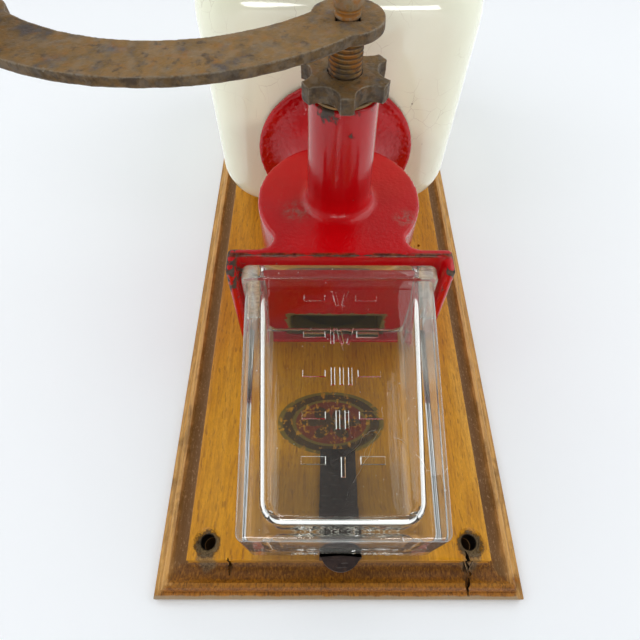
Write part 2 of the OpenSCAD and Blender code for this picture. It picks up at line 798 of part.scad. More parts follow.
module knob() {
    shoulder_at = knob_wide_at - sqrt(pow(knob_r, 2) - pow(knob_shoulder_r, 2));
    color(stained_wood) stand_upright() difference() {
        at_knob(knob_foot) rotate_extrude() intersection() {
            union() {
                translate([0, knob_wide_at]) circle(knob_r);
                polygon([[0, 0], [knob_foot_r, 0], [knob_foot_r, knob_foot_h], [knob_neck_r, knob_neck_at],
                         [knob_shoulder_r, shoulder_at], [0, knob_wide_at]]);
            }
            square([knob_r, knob_h]);
        }
        at_knob(knob_foot - over) cylinder(r = pin_r + run_gap, h = knob_h + 2 * over);
    }
}

// Bean jar and its lid

module jar_form(inset, y, h) {
    r = jar_corner_r - inset;
    foot_r = jar_bottom_r - inset;
    out_x = jar_w / 2 - jar_corner_r;
    out_z = jar_d / 2 - jar_corner_r;
    hull() for (sx = [-1, 1], sz = [-1, 1])
        translate([sx * out_x, y, jar_z + sz * out_z]) along_y() round_foot_post(r, foot_r, h);
}

module reservoir() {
    color(cream_glaze) stand_upright() difference() {
        jar_form(0, jar_bottom, jar_h);
        jar_form(jar_wall, jar_bottom + jar_wall, jar_h);
        translate([0, jar_bottom - over, throat_z]) along_y()
            cylinder(r = funnel_r, h = jar_wall + 2 * over);
        at_jar_screws() translate([0, 0, board_t - over])
            cylinder(r = jar_screw_r + fit_gap, h = jar_wall + 2 * over);
    }
}

module jar_plate(inset, y, t) {
    translate([0, y, jar_z]) along_y() linear_extrude(t)
        rounded_rect(jar_w - 2 * inset, jar_d - 2 * inset, jar_corner_r - inset);
}

module reservoir_lid() {
    field_top = jar_top + lid_t + lid_field_t;
    rim_out = jar_wall + lid_gap;
    knob_middle = lid_neck_h + lid_knob_r / 2 + over;
    color(cream_glaze) stand_upright() {
        jar_plate(lid_gap, jar_top, lid_t);
        jar_plate(lid_gap + lid_field_inset, jar_top, lid_t + lid_field_t);
        difference() {
            jar_plate(rim_out, jar_top - lid_rim_h, lid_rim_h + lid_t / 2);
            jar_plate(rim_out + lid_rim_t, jar_top - lid_rim_h - over, lid_rim_h + over);
        }
        translate([0, field_top - over, jar_z]) along_y() {
            cylinder(r = lid_neck_r, h = knob_middle);
            translate([0, 0, knob_middle]) sphere(lid_knob_r);
        }
    }
}

module throat_gasket() {
    flange_y = spindle_y + throat_h;
    color(dark_felt) stand_upright() translate([0, flange_y, throat_z]) along_y() difference() {
        cylinder(r = flange_r - gasket_inset, h = gasket_t);
        translate([0, 0, -over]) cylinder(r = funnel_r, h = gasket_t + 2 * over);
    }
}

module reservoir_washers() {
    color(dark_felt) stand_upright() at_jar_screws() difference() {
        translate([0, 0, board_t + jar_wall]) cylinder(r = jar_washer_r, h = jar_washer_t);
        translate([0, 0, board_t]) cylinder(r = jar_screw_r + fit_gap, h = jar_wall + jar_washer_t + over);
    }
}

module reservoir_screws() {
    head_at = board_t + jar_wall + jar_washer_t;
    color(bare_steel) stand_upright() at_jar_screws() {
        translate([0, 0, board_t - jar_screw_grip])
            cylinder(r = jar_screw_r, h = head_at - board_t + jar_screw_grip + over);
        translate([0, 0, head_at]) dome(jar_head_r, jar_head_h);
    }
}

// Glass cup under the hood

module at_cup_corners(w, d, r, y, back) {
    for (sx = [-1, 1], sz = [0, 1])
        translate([sx * (w / 2 - r), y, back + r + sz * (d - 2 * r)]) along_y() children();
}

module cup_slab(w, d, y, h, back) {
    at_cup_corners(w, d, cup_corner_r, y, back) cylinder(r = cup_corner_r, h = h, $fn = hull_fn);
}

module cup_outside() {
    rim_w = cup_top_w + 2 * cup_rim_out;
    rim_d = cup_top_d + cup_rim_out + cup_rim_back;
    hull() {
        cup_slab(cup_bottom_w, cup_bottom_d, cup_bottom, cup_foot_h, cup_back);
        cup_slab(cup_top_w, cup_top_d, cup_top - cup_rim_h / 2, cup_foot_h, cup_back);
    }
    hull() cup_slab(rim_w, rim_d, cup_top - cup_rim_h, cup_rim_h, cup_back - cup_rim_back);
}

module cup_inside() {
    lean = (cup_top_d - cup_bottom_d) / cup_h;
    floor_w = cup_bottom_w - 2 * cup_wall;
    floor_d = cup_bottom_d + lean * cup_bottom_t - 2 * cup_wall;
    mouth_w = cup_top_w - 2 * cup_wall;
    mouth_d = cup_top_d - 2 * cup_wall;
    cavity_back = cup_back + cup_wall;
    hull() {
        at_cup_corners(floor_w, floor_d, cup_cavity_r, cup_bottom + cup_bottom_t, cavity_back)
            round_foot_post(cup_cavity_r, cup_floor_r, cup_floor_r + over);
        at_cup_corners(mouth_w, mouth_d, cup_cavity_r, cup_top, cavity_back)
            cylinder(r = cup_cavity_r, h = over, $fn = hull_fn);
    }
}

module measuring_cup() {
    color(clear_glass) stand_upright() difference() {
        cup_outside();
        cup_inside();
    }
}

// Spring strap that holds the cup up

module strap_side() {
    pad_back = board_t + face_gap;
    foot_back = pad_back + catch_spring_out;
    pad_top = catch_screw_y + catch_pad;
    pad_end = catch_screw_y - catch_pad;
    tip = foot_back + catch_ledge;
    polygon([[pad_top, pad_back], [pad_end, pad_back], [ledge_top - catch_t, foot_back],
             [ledge_top - catch_t, tip], [ledge_top, tip], [ledge_top, foot_back + catch_t],
             [pad_end, pad_back + catch_t], [pad_top, pad_back + catch_t]]);
}

module cup_catch() {
    tab_back = board_t + face_gap + catch_spring_out + catch_ledge - catch_t;
    tab_bottom = ledge_top - catch_t - catch_tab;
    color(black_steel) stand_upright() {
        difference() {
            rotate([90, 0, 90]) linear_extrude(catch_w, center = true) strap_side();
            translate([0, catch_screw_y, board_t])
                cylinder(r = catch_screw_r + face_gap, h = catch_t + 2 * over);
        }
        intersection() {
            translate([0, tab_bottom + catch_tab_r, tab_back]) cylinder(r = catch_tab_r, h = catch_t);
            translate([-catch_tab_r, tab_bottom, tab_back])
                cube([2 * catch_tab_r, ledge_top - tab_bottom, catch_t]);
        }
    }
}

module catch_screw() {
    head_at = board_t + 2 * face_gap + catch_t;
    color(black_steel) stand_upright() translate([0, catch_screw_y, 0]) {
        translate([0, 0, board_t - catch_screw_grip])
            cylinder(r = catch_screw_r, h = head_at - board_t + catch_screw_grip + catch_head_h / 2);
        translate([0, 0, head_at]) dome(catch_head_r, catch_head_h);
    }
}

backboard();
back_plate();
grinder_housing();
housing_screws();
ring_burr();
burr_dowels();
cone_burr();
burr_nut();
burr_spring();
spindle();
adjusting_washer();
adjusting_nut();
crank_arm();
crank_nut();
knob_pin();
knob_washer();
knob();
reservoir();
reservoir_lid();
throat_gasket();
reservoir_screws();
reservoir_washers();
measuring_cup();
cup_catch();
catch_screw();
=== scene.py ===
# %% [markdown]
# # A wall mounted coffee mill
# The mill is a moulded beech board that carries a red cast grinder, a cream bean jar above it and
# a glass cup below it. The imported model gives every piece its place, its size and its motion. This
# lesson dresses those pieces, one after the other, in the part's own frame: +Z runs up the wall,
# the wall lies behind the board on the +Y side, and the unit is the metre.

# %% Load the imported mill
import math

import bmesh
import bpy
from mathutils import Matrix, Vector


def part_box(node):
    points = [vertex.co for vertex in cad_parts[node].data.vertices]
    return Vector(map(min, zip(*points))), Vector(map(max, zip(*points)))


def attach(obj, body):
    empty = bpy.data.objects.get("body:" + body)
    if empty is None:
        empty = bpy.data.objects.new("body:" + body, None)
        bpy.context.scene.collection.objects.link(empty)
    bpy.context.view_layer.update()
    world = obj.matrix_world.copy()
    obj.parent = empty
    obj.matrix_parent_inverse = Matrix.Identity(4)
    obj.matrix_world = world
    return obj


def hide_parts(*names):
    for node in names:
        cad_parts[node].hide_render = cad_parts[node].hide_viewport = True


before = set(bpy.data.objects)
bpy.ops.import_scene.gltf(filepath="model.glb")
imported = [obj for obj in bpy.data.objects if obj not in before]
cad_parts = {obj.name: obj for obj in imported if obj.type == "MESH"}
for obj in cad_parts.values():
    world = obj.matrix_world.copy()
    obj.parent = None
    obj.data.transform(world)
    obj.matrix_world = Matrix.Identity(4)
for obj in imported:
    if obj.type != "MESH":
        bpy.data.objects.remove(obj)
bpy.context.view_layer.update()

MM = 0.001

# %% [markdown]
# ## Measures
# The drawing sizes of the mill are in millimetres: to the right, out from the wall, and up. A short
# function turns them into a point of the frame. Whatever the frame can tell is read from its boxes,
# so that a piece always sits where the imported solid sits.

# %% Places read from the frame


def place(right, out, up):
    """A point of the frame from millimetres to the right, out from the wall and up."""
    return Vector((right, -out, up)) * MM


def extent(node):
    """A node's box in millimetres, as lowest and highest right, out and up."""
    low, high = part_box(node)
    return (Vector((low.x, -high.y, low.z)) / MM, Vector((high.x, -low.y, high.z)) / MM)


board_low, board_high = extent("backboard")
casting_low, casting_high = extent("grinder_housing")
star_low, star_high = extent("adjusting_nut")
arm_low = extent("crank_arm")[0]
cup_low, cup_high = extent("measuring_cup")
jar_low, jar_high = extent("reservoir")
lid_low, lid_high = extent("reservoir_lid")
knob_low, knob_high = extent("knob")
spindle_up = (star_low.z + star_high.z) / 2
knob_right = (knob_low.x + knob_high.x) / 2
print("spindle at", round(spindle_up, 2), "mm, knob at", round(knob_right, 2), "mm")

# %% [markdown]
# ## The camera
# The picture looks at the mill as it lies on its back, from beyond the cup. The viewing angle is
# given as a pitch towards the wall, a small yaw and a small roll. A focal length of 27 mm on a
# 36 mm sensor is a short lens from close by, which is why the cup looks so much wider than the jar.

# %% Camera
CAMERA_AT = place(-8.3, 212.2, -197.3)
CAMERA_PITCH, CAMERA_YAW, CAMERA_ROLL = 57.795, 0.484, 0.601
CAMERA_LENS, CAMERA_SENSOR = 27.0, 36.0


def camera_turn(pitch, yaw, roll):
    """The camera's rotation, from angles in degrees."""
    pitch, yaw, roll = (math.radians(a) for a in (pitch, yaw, roll))
    ahead = Vector((math.sin(yaw) * math.cos(pitch), math.sin(pitch), math.cos(yaw) * math.cos(pitch)))
    level = ahead.cross(Vector((0, -1, 0))).normalized()
    above = level.cross(ahead)
    right = level * math.cos(roll) + above * math.sin(roll)
    top = above * math.cos(roll) - level * math.sin(roll)
    return Matrix((right, top, -ahead)).transposed().to_euler()


bpy.ops.object.camera_add(location=CAMERA_AT, rotation=camera_turn(CAMERA_PITCH, CAMERA_YAW, CAMERA_ROLL))
camera = bpy.context.object
camera.data.lens = CAMERA_LENS
camera.data.sensor_width = CAMERA_SENSOR
camera.data.clip_start = 0.01
bpy.context.scene.camera = camera
bpy.context.scene.view_settings.view_transform = "Standard"
print("camera at", tuple(round(c, 3) for c in camera.location))

# %% [markdown]
# ## Tools of the bench
# Every operator acts on what is selected, so each step begins with nothing selected. Faces and edges
# are then chosen in code, by where they lie or which way they face, just as a hand would click them.

# %% Selecting and finishing


def begin():
    """Back to object mode, with nothing selected."""
    if bpy.context.object and bpy.context.object.mode != "OBJECT":
        bpy.ops.object.mode_set(mode="OBJECT")
    bpy.ops.object.select_all(action="DESELECT")


def take(piece):
    """Make this piece the only one selected, and the active one."""
    begin()
    piece.select_set(True)
    bpy.context.view_layer.objects.active = piece
    return piece


def edit(piece=None):
    """Open a piece in edit mode with all of it selected."""
    if piece:
        take(piece)
    bpy.ops.object.mode_set(mode="EDIT")
    bpy.ops.mesh.select_all(action="SELECT")


def choose(kind, test):
    """Select the faces, edges or verts of the open mesh that pass a test. Returns how many."""
    bpy.ops.mesh.select_mode(type={"faces": "FACE", "edges": "EDGE", "verts": "VERT"}[kind])
    bpy.ops.mesh.select_all(action="DESELECT")
    mesh = bmesh.from_edit_mesh(bpy.context.object.data)
    chosen = [part for part in getattr(mesh, kind) if test(part)]
    for part in chosen:
        part.select_set(True)
    bmesh.update_edit_mesh(bpy.context.object.data)
    return len(chosen)


def close():
    """Back to object mode. Returns the piece that was open."""
    bpy.ops.object.mode_set(mode="OBJECT")
    return bpy.context.object


def bevel(width, segments, **more):
    """Round the chosen edges by a width in millimetres."""
    bpy.ops.mesh.bevel(offset=width * MM, segments=segments, affect="EDGES", **more)


def inset(width, depth=0.0):
    """Draw the chosen faces in by a width, and move them out by a depth. Millimetres."""
    bpy.ops.mesh.inset(thickness=width * MM, depth=depth * MM)


def outwards():
    """Point all faces of the open mesh outwards."""
    bpy.ops.mesh.select_all(action="SELECT")
    bpy.ops.mesh.normals_make_consistent(inside=False)


def seal():
    """Merge the doubles of the open mesh, fill its open ends and point its faces outwards."""
    bpy.ops.mesh.remove_doubles(threshold=0.005 * MM)
    bpy.ops.mesh.fill_holes(sides=0)
    outwards()


def middle(edge):
    """The middle of an edge, in millimetres right, out and up."""
    point = (edge.verts[0].co + edge.verts[1].co) / 2
    return Vector((point.x, -point.y, point.z)) / MM


def runs_along(edge, axis):
    """True for an edge that runs mostly along x (0), y (1) or z (2)."""
    way = edge.verts[1].co - edge.verts[0].co
    return abs(way[axis]) > 0.9 * way.length


def modify(piece, kind, **settings):
    """Add a modifier and apply it at once."""
    take(piece)
    modifier = piece.modifiers.new(kind.title(), kind)
    for key, value in settings.items():
        setattr(modifier, key, value)
    bpy.ops.object.modifier_apply(modifier=modifier.name)
    return piece


def combine(piece, other, how):
    """Boolean of a piece with another one, which is used up."""
    modify(piece, "BOOLEAN", object=other, operation=how, solver="EXACT")
    bpy.data.objects.remove(other)
    return piece


def join(pieces):
    """Join several pieces into the first one."""
    begin()
    for piece in pieces:
        piece.select_set(True)
    bpy.context.view_layer.objects.active = pieces[0]
    bpy.ops.object.join()
    return bpy.context.object


def hand_over(piece, name, body, finish, slot, *nodes, smooth=40):
    """Name a finished piece, smooth and paint it, and let it ride on its body."""
    take(piece)
    bpy.ops.object.transform_apply(location=True, rotation=True, scale=True)
    bpy.ops.object.shade_smooth_by_angle(angle=math.radians(smooth))
    piece.name = piece.data.name = name
    piece.data.materials.clear()
    piece.data.materials.append(finish)
    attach(piece, body)
    if nodes:
        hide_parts(*nodes)
    print(name, "on", body, "with", len(piece.data.polygons), "faces")
    return piece


# %% [markdown]
# Most starts are boxes, turned profiles and copies. A box is a cube primitive at its size and place.
# A turned piece is one vertex, extruded from point to point along its profile and then spun round its
# axis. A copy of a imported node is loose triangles, so its doubles are merged first.

# %% Starting shapes


def box(low, high):
    """A cube primitive between two corners, in millimetres right, out and up."""
    begin()
    low, high = Vector(low), Vector(high)
    size = high - low
    bpy.ops.mesh.primitive_cube_add(size=1, location=place(*((low + high) / 2)), scale=size * MM)
    bpy.ops.object.transform_apply(location=True, rotation=True, scale=True)
    return bpy.context.object


def rod(radius, start, end, sides=48, end_radius=None):
    """A cylinder or cone primitive between two points in millimetres."""
    begin()
    start, end = place(*start), place(*end)
    way = end - start
    turn = way.to_track_quat("Z", "Y").to_euler()
    top = radius if end_radius is None else end_radius
    bpy.ops.mesh.primitive_cone_add(vertices=sides, radius1=radius * MM, radius2=top * MM,
                                    depth=way.length, location=(start + end) / 2, rotation=turn)
    bpy.ops.object.transform_apply(location=True, rotation=True, scale=True)
    return bpy.context.object


def drawn_line(points):
    """A plane merged to one vertex and extruded from point to point. Leaves the line open in edit mode."""
    begin()
    bpy.ops.mesh.primitive_plane_add(size=MM)
    bpy.ops.object.mode_set(mode="EDIT")
    bpy.ops.mesh.select_mode(type="VERT")
    bpy.ops.mesh.select_all(action="SELECT")
    bpy.ops.mesh.merge(type="CENTER")
    bpy.ops.transform.translate(value=points[0])
    for start, end in zip(points, points[1:]):
        bpy.ops.mesh.extrude_region_move(TRANSFORM_OT_translate={"value": end - start})
    bpy.ops.mesh.select_all(action="SELECT")


def turned(profile, foot, along="out", steps=64):
    """Spin a profile of (radius, height) in millimetres round an axis that stands on a foot."""
    axis = Vector((0, -1, 0)) if along == "out" else Vector((0, 0, 1))
    drawn_line([place(*foot) + (Vector((radius, 0, 0)) + axis * height) * MM for radius, height in profile])
    bpy.ops.mesh.spin(steps=steps, angle=math.tau, center=place(*foot), axis=axis)
    bpy.ops.mesh.select_all(action="SELECT")
    bpy.ops.mesh.remove_doubles(threshold=0.002 * MM)
    outwards()
    return close()


def arc(middle_at, radius, first, last, steps=8):
    """Points on a round stretch of a profile, from one angle to another in degrees."""
    angles = [math.radians(first + (last - first) * i / steps) for i in range(steps + 1)]
    return [(middle_at[0] + radius * math.cos(a), middle_at[1] + radius * math.sin(a)) for a in angles]


def copy_of(node):
    """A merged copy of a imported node's mesh, as a new piece."""
    begin()
    piece = bpy.data.objects.new(node + "_copy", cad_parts[node].data.copy())
    bpy.context.scene.collection.objects.link(piece)
    edit(piece)
    bpy.ops.mesh.remove_doubles(threshold=0.001 * MM)
    return close()


def cast(piece, voxel, passes, grain=0.0, lump=6.0):
    """Give a sharp solid the soft edges and uneven skin of a casting. Sizes in millimetres."""
    modify(piece, "REMESH", mode="VOXEL", voxel_size=voxel * MM)
    modify(piece, "SMOOTH", factor=0.5, iterations=passes)
    if grain:
        cloud = bpy.data.textures.new("cast_skin", "CLOUDS")
        cloud.noise_scale = lump * MM
        modify(piece, "DISPLACE", texture=cloud, texture_coords="GLOBAL", strength=grain * MM, mid_level=0.5)
    return piece


print("tools ready")

# %% [markdown]
# ## Finishes
# A finish is a small network of nodes. The class below keeps the wiring short: it starts from Object
# coordinates, which are the frame's own metres, and adds noise, ramps, masks and bumps to them. A
# value that is the same all over goes straight onto the shader's socket.

# %% A finish and its nodes


def tint(red, green, blue):
    """A colour as a paint chart gives it, 0 to 255, turned into the light values a shader needs."""
    def light(c):
        c /= 255
        return c / 12.92 if c <= 0.04045 else ((c + 0.055) / 1.055) ** 2.4
    return (light(red), light(green), light(blue), 1)


class Finish:
    """A material, and short ways to add nodes to it."""

    def __init__(self, name, **constants):
        self.material = bpy.data.materials.new(name)
        self.material.use_nodes = True
        self.tree = self.material.node_tree
        self.shader = self.tree.nodes["Principled BSDF"]
        for key, value in constants.items():
            self.shader.inputs[key.replace("_", " ")].default_value = value
        self.at = self.add("ShaderNodeTexCoord").outputs["Object"]
        split = self.add("ShaderNodeSeparateXYZ", {"Vector": self.at})
        self.right, self.back, self.up = split.outputs

    def add(self, kind, values=None, **settings):
        made = self.tree.nodes.new(kind)
        for key, value in settings.items():
            setattr(made, key, value)
        for key, value in (values or {}).items():
            self.plug(made.inputs[key], value)
        return made

    def plug(self, socket, value):
        """Link a socket to another node's output, or set it to a constant."""
        if isinstance(value, bpy.types.NodeSocket):
            self.tree.links.new(value, socket)
        else:
            socket.default_value = value

    def set(self, socket, value):
        self.plug(self.shader.inputs[socket], value)

    def moved(self, stretch=(1, 1, 1), shift=(0, 0, 0)):
        values = {"Vector": self.at, "Scale": stretch, "Location": shift}
        return self.add("ShaderNodeMapping", values).outputs[0]

    def vector(self, operation, values, output="Vector"):
        """A sum, product or distance of vectors."""
        return self.add("ShaderNodeVectorMath", values, operation=operation).outputs[output]

    def noise(self, size, detail=4, rough=0.55, stretch=(1, 1, 1), shift=(0, 0, 0), warp=0.0):
        """Noise whose blotches are about this many millimetres across."""
        made = self.add("ShaderNodeTexNoise", {
            "Vector": self.moved(stretch, shift), "Scale": 1 / (size * MM), "Detail": detail,
            "Roughness": rough, "Distortion": warp})
        return made.outputs["Fac"]

    def warped(self, size, reach):
        """Object coordinates pushed about by noise, so that straight lines wander. Millimetres."""
        push = self.add("ShaderNodeTexNoise", {"Vector": self.at, "Scale": 1 / (size * MM), "Detail": 3.0})
        pushed = self.vector("SCALE", {0: push.outputs["Color"], "Scale": reach * MM})
        return self.vector("ADD", {0: self.at, 1: pushed})

    def cells(self, size, feature="F1", stretch=(1, 1, 1), vector=None):
        """Distances in a pattern of cells about this many millimetres across."""
        made = self.add("ShaderNodeTexVoronoi", {
            "Vector": vector or self.moved(stretch), "Scale": 1 / (size * MM)}, feature=feature)
        return made.outputs["Distance"]

    def math(self, operation, first, second=0.0, third=0.0, clamp=False):
        return self.add("ShaderNodeMath", {0: first, 1: second, 2: third}, operation=operation,
                        use_clamp=clamp).outputs[0]

    def times(self, first, second):
        return self.math("MULTIPLY", first, second)

    def plus(self, first, second):
        return self.math("ADD", first, second)

    def minus(self, first, second):
        return self.math("SUBTRACT", first, second)

    def most(self, first, *others):
        """The largest of several values."""
        for other in others:
            first = self.math("MAXIMUM", first, other)
        return first

    def band(self, value, low, high, start=0.0, end=1.0):
        """Runs from start to end as the value runs from low to high, smoothly."""
        values = {"Value": value, "From Min": low, "From Max": high, "To Min": start, "To Max": end}
        return self.add("ShaderNodeMapRange", values, interpolation_type="SMOOTHSTEP").outputs[0]

    def span(self, value, low, high, start=0.0, end=1.0):
        """A band between two lengths in millimetres."""
        return self.band(value, low * MM, high * MM, start, end)

    def stray(self, noise, reach):
        """A noise turned into a length of this many millimetres either way."""
        return self.math("MULTIPLY_ADD", noise, 2 * reach * MM, -reach * MM)

    def ramp(self, value, *stops):
        made = self.add("ShaderNodeValToRGB", {"Fac": value})
        points = made.color_ramp.elements
        while len(points) < len(stops):
            points.new(1.0)
        for point, (position, colour) in zip(points, stops):
            point.position, point.color = position, colour
        return made.outputs["Color"]

    def mix(self, share, first, second, blend="MIX"):
        made = self.add("ShaderNodeMix", data_type="RGBA", blend_type=blend)
        for index, value in ((0, share), (6, first), (7, second)):
            self.plug(made.inputs[index], value)
        return made.outputs[2]

    def near(self, right, out, up, inner, outer):
        """A soft spot, 1 inside the inner and 0 past the outer radius, round a place in millimetres."""
        apart = self.vector("DISTANCE", {0: self.at, 1: place(right, out, up)}, "Value")
        return self.span(apart, inner, outer, 1.0, 0.0)

    def edges(self, low, high, start=0.0, end=1.0):
        """A mask of the outward edges of a finely meshed piece, or of its hollows."""
        return self.band(self.add("ShaderNodeNewGeometry").outputs["Pointiness"], low, high, start, end)

    def sides(self, low, high):
        """A mask of the faces that look along the wall instead of out from it. It turns with the piece."""
        normal = self.add("ShaderNodeTexCoord").outputs["Normal"]
        outward = self.add("ShaderNodeSeparateXYZ", {"Vector": normal}).outputs["Y"]
        return self.band(self.math("ABSOLUTE", outward), low, high, 1.0, 0.0)

    def bump(self, height, depth, strength=1.0, below=None):
        """A bump of this many millimetres."""
        values = {"Height": height, "Distance": depth * MM, "Strength": strength}
        if below:
            values["Normal"] = below
        return self.add("ShaderNodeBump", values).outputs["Normal"]

    def pass_rays(self, share, colour=(1, 1, 1, 1)):
        """Let a share of the rays go straight through."""
        clear = self.add("ShaderNodeBsdfTransparent", {"Color": colour}).outputs[0]
        both = self.add("ShaderNodeMixShader", {0: share, 1: self.shader.outputs[0], 2: clear}).outputs[0]
        self.plug(self.tree.nodes["Material Output"].inputs["Surface"], both)


print("finish class ready")

# %% [markdown]
# ### Beech
# The board is one plank of beech. Its panel is honey coloured under old varnish, with the short dark
# flecks that beech has along its grain. The moulding round it was stained: along the sides the ledge and
# the bead are worn to honey and the cove is brown, and the two ends are darker, with speckles. All of it
# comes from the distance to the board's edge, with some noise so that no border is a ruled line. In the
# middle of the panel sits a worn printed ornament, a plain oval with a rosette.

# %% Printed ornament and distances on the board
MOULDING_W = 12.4
WALL_HOLES = [(sx * 50.5, sz * 171.0) for sx in (-1, 1) for sz in (-1, 1)]
SPLIT_AT, SLOT_AT = (49.0, -181.5), (-41.8, -179.4)
ORNAMENT_AT = (-2.5, -124.5)
ORNAMENT_HALF = (23.5, 14.0)


def rosette(f):
    """Colour and mask of the printed oval."""
    across = f.math("DIVIDE", f.minus(f.right, ORNAMENT_AT[0] * MM), ORNAMENT_HALF[0] * MM)
    upward = f.math("DIVIDE", f.minus(f.up, ORNAMENT_AT[1] * MM), ORNAMENT_HALF[1] * MM)
    reach = f.math("SQRT", f.plus(f.times(across, across), f.times(upward, upward)))
    turn = f.math("ARCTAN2", upward, across)
    petal = f.math("ABSOLUTE", f.math("COSINE", f.times(turn, 3.0)))
    petals = f.minus(f.math("MULTIPLY_ADD", petal, 0.42, 0.16), reach)
    dark, gold, red = tint(34, 28, 26), tint(104, 90, 36), tint(104, 24, 26)
    colour = f.ramp(reach, (0.0, red), (0.66, red), (0.68, gold), (0.73, gold), (0.75, dark), (0.90, dark),
                    (0.92, gold), (1.0, gold))
    colour = f.mix(f.band(petals, 0.0, 0.03), colour, dark)
    kept = f.band(f.noise(2.6, detail=8, rough=0.7), 0.38, 0.46)
    mask = f.times(f.band(reach, 0.99, 1.01, 1.0, 0.0), kept)
    return colour, f.times(mask, 0.9)


def across_board(f, right, up):
    """Distance from a place on the board, whatever the depth."""
    flat = f.vector("MULTIPLY", {0: f.at, 1: (1, 0, 1)})
    return f.vector("DISTANCE", {0: flat, 1: place(right, 0, up)}, "Value")


print("board marks:", len(WALL_HOLES), "holes, a split and a slot")

# %% Beech finish


def panel_wood(f, streak, fine, fleck, grit):
    """Honey coloured beech under varnish, with painted shade on the panel behind the lower part of the cup.
    Returns it as the panel has it, and as planed for the back.
    """
    panel = f.ramp(streak, (0.28, tint(190, 120, 4)), (0.5, tint(214, 148, 18)), (0.72, tint(226, 166, 60)))
    panel = f.mix(f.band(fine, 0.42, 0.64, 0.0, 0.45), panel, tint(160, 98, 8))
    panel = f.mix(f.times(fleck, 0.42), panel, tint(112, 62, 14))
    panel = f.mix(f.band(grit, 0.40, 0.62, 0.22, 0.0), panel, tint(140, 84, 18))
    planed = f.mix(0.5, panel, tint(150, 116, 78))
    # Painted shade: the panel behind the lower part of the cup is painted darker.
    painted_shade_behind_cup = f.times(f.span(f.math("ABSOLUTE", f.right), 26, 38, 0.6, 0.0), f.span(f.up, -130, -152))
    return f.mix(painted_shade_behind_cup, panel, tint(112, 84, 54)), planed


def moulding_wood(f, side, end, fine, grit):
    """Worn honey along the sides and speckled stain at the ends, by the distance to either edge."""
    frayed = f.plus(f.math("MINIMUM", side, end), f.stray(f.noise(6, detail=6), 1.2))
    reach = f.math("DIVIDE", frayed, MOULDING_W * MM)
    honey = f.ramp(reach, (0.0, tint(186, 134, 66)), (0.10, tint(216, 166, 92)), (0.30, tint(208, 156, 84)),
                   (0.43, tint(204, 152, 88)), (0.52, tint(138, 98, 50)), (0.64, tint(116, 80, 38)),
                   (0.95, tint(126, 90, 48)))
    patchy = f.band(f.noise(9, detail=5), 0.46, 0.66)
    lower = f.span(f.up, -60, -150, 0.15, 0.6)
    honey = f.mix(f.times(patchy, lower), honey, tint(104, 72, 26))
    honey = f.mix(f.band(fine, 0.44, 0.62, 0.0, 0.45), honey, tint(110, 74, 32))
    honey = f.mix(f.band(grit, 0.54, 0.68, 0.0, 0.35), honey, tint(224, 184, 130))
    stain = f.ramp(reach, (0.0, tint(168, 118, 60)), (0.06, tint(204, 150, 78)), (0.17, tint(196, 140, 74)),
                   (0.24, tint(160, 106, 52)), (0.40, tint(190, 144, 92)), (0.52, tint(152, 108, 56)),
                   (0.95, tint(142, 102, 52)))
    mottle = f.noise(2.2, detail=6, rough=0.7, stretch=(1, 1, 0.35))
    stain = f.mix(f.band(mottle, 0.46, 0.68, 0.0, 0.6), stain, tint(84, 50, 20))
    stain = f.mix(f.band(grit, 0.36, 0.50, 0.75, 0.0), stain, tint(70, 46, 20))
    stain = f.mix(f.band(grit, 0.51, 0.64, 0.0, 0.7), stain, tint(196, 152, 88))
    strayed = f.stray(f.noise(7, detail=6), 12)
    at_end = f.span(f.plus(f.minus(side, end), strayed), -4, 1)
    stroke = f.band(f.noise(1.0, detail=3, stretch=(1, 1, 0.25)), 0.42, 0.66)
    end_stain = f.mix(1.0, stain, tint(226, 198, 100), "MULTIPLY")
    end_stain = f.mix(f.times(stroke, 0.4), end_stain, tint(84, 52, 16))
    bruised = f.span(f.plus(end, f.times(f.noise(5), 1.4 * MM)), 1.5, 2.2, 0.85, 0.0)
    return f.mix(at_end, honey, f.mix(bruised, end_stain, tint(160, 142, 116)))


def hole_marks_and_shade(f, colour, grit):
    """Grime and torn fibres round the wall screws, painted shade down their bores, and darkened walls inside
    the splits.
    """
    fibres = f.ramp(grit, (0.35, tint(48, 36, 22)), (0.65, tint(138, 118, 86)))
    ragged = f.stray(f.noise(1.8, detail=5, rough=0.7), 2.2)
    for right, up in WALL_HOLES:
        from_hole = f.plus(across_board(f, right, up - 0.9), ragged)
        grime = f.plus(across_board(f, right, up - 6.5), ragged)
        colour = f.mix(f.span(grime, 2.6, 4.2, 0.7, 0.0), colour, fibres)
        colour = f.mix(f.span(from_hole, 4.6, 5.4, 0.8, 0.0), colour, tint(66, 44, 22))
        colour = f.mix(f.span(from_hole, 4.0, 4.5, 0.9, 0.0), colour, fibres)
        # Painted shade: the bore of each wall hole is painted near black.
        colour = f.mix(f.span(across_board(f, right, up), 2.8, 3.2, 1.0, 0.0), colour, tint(15, 11, 7))
    normal = f.add("ShaderNodeNewGeometry").outputs["True Normal"]
    sideways = f.add("ShaderNodeSeparateXYZ", {"Vector": normal}).outputs["X"]
    cut_face = f.band(f.math("ABSOLUTE", sideways), 0.4, 0.7)
    for at, reach in ((SPLIT_AT, 9.0), (SLOT_AT, 3.6)):
        inside = f.times(cut_face, f.span(across_board(f, *at), reach - 1, reach, 1.0, 0.0))
        colour = f.mix(inside, colour, tint(30, 22, 12))
    return colour


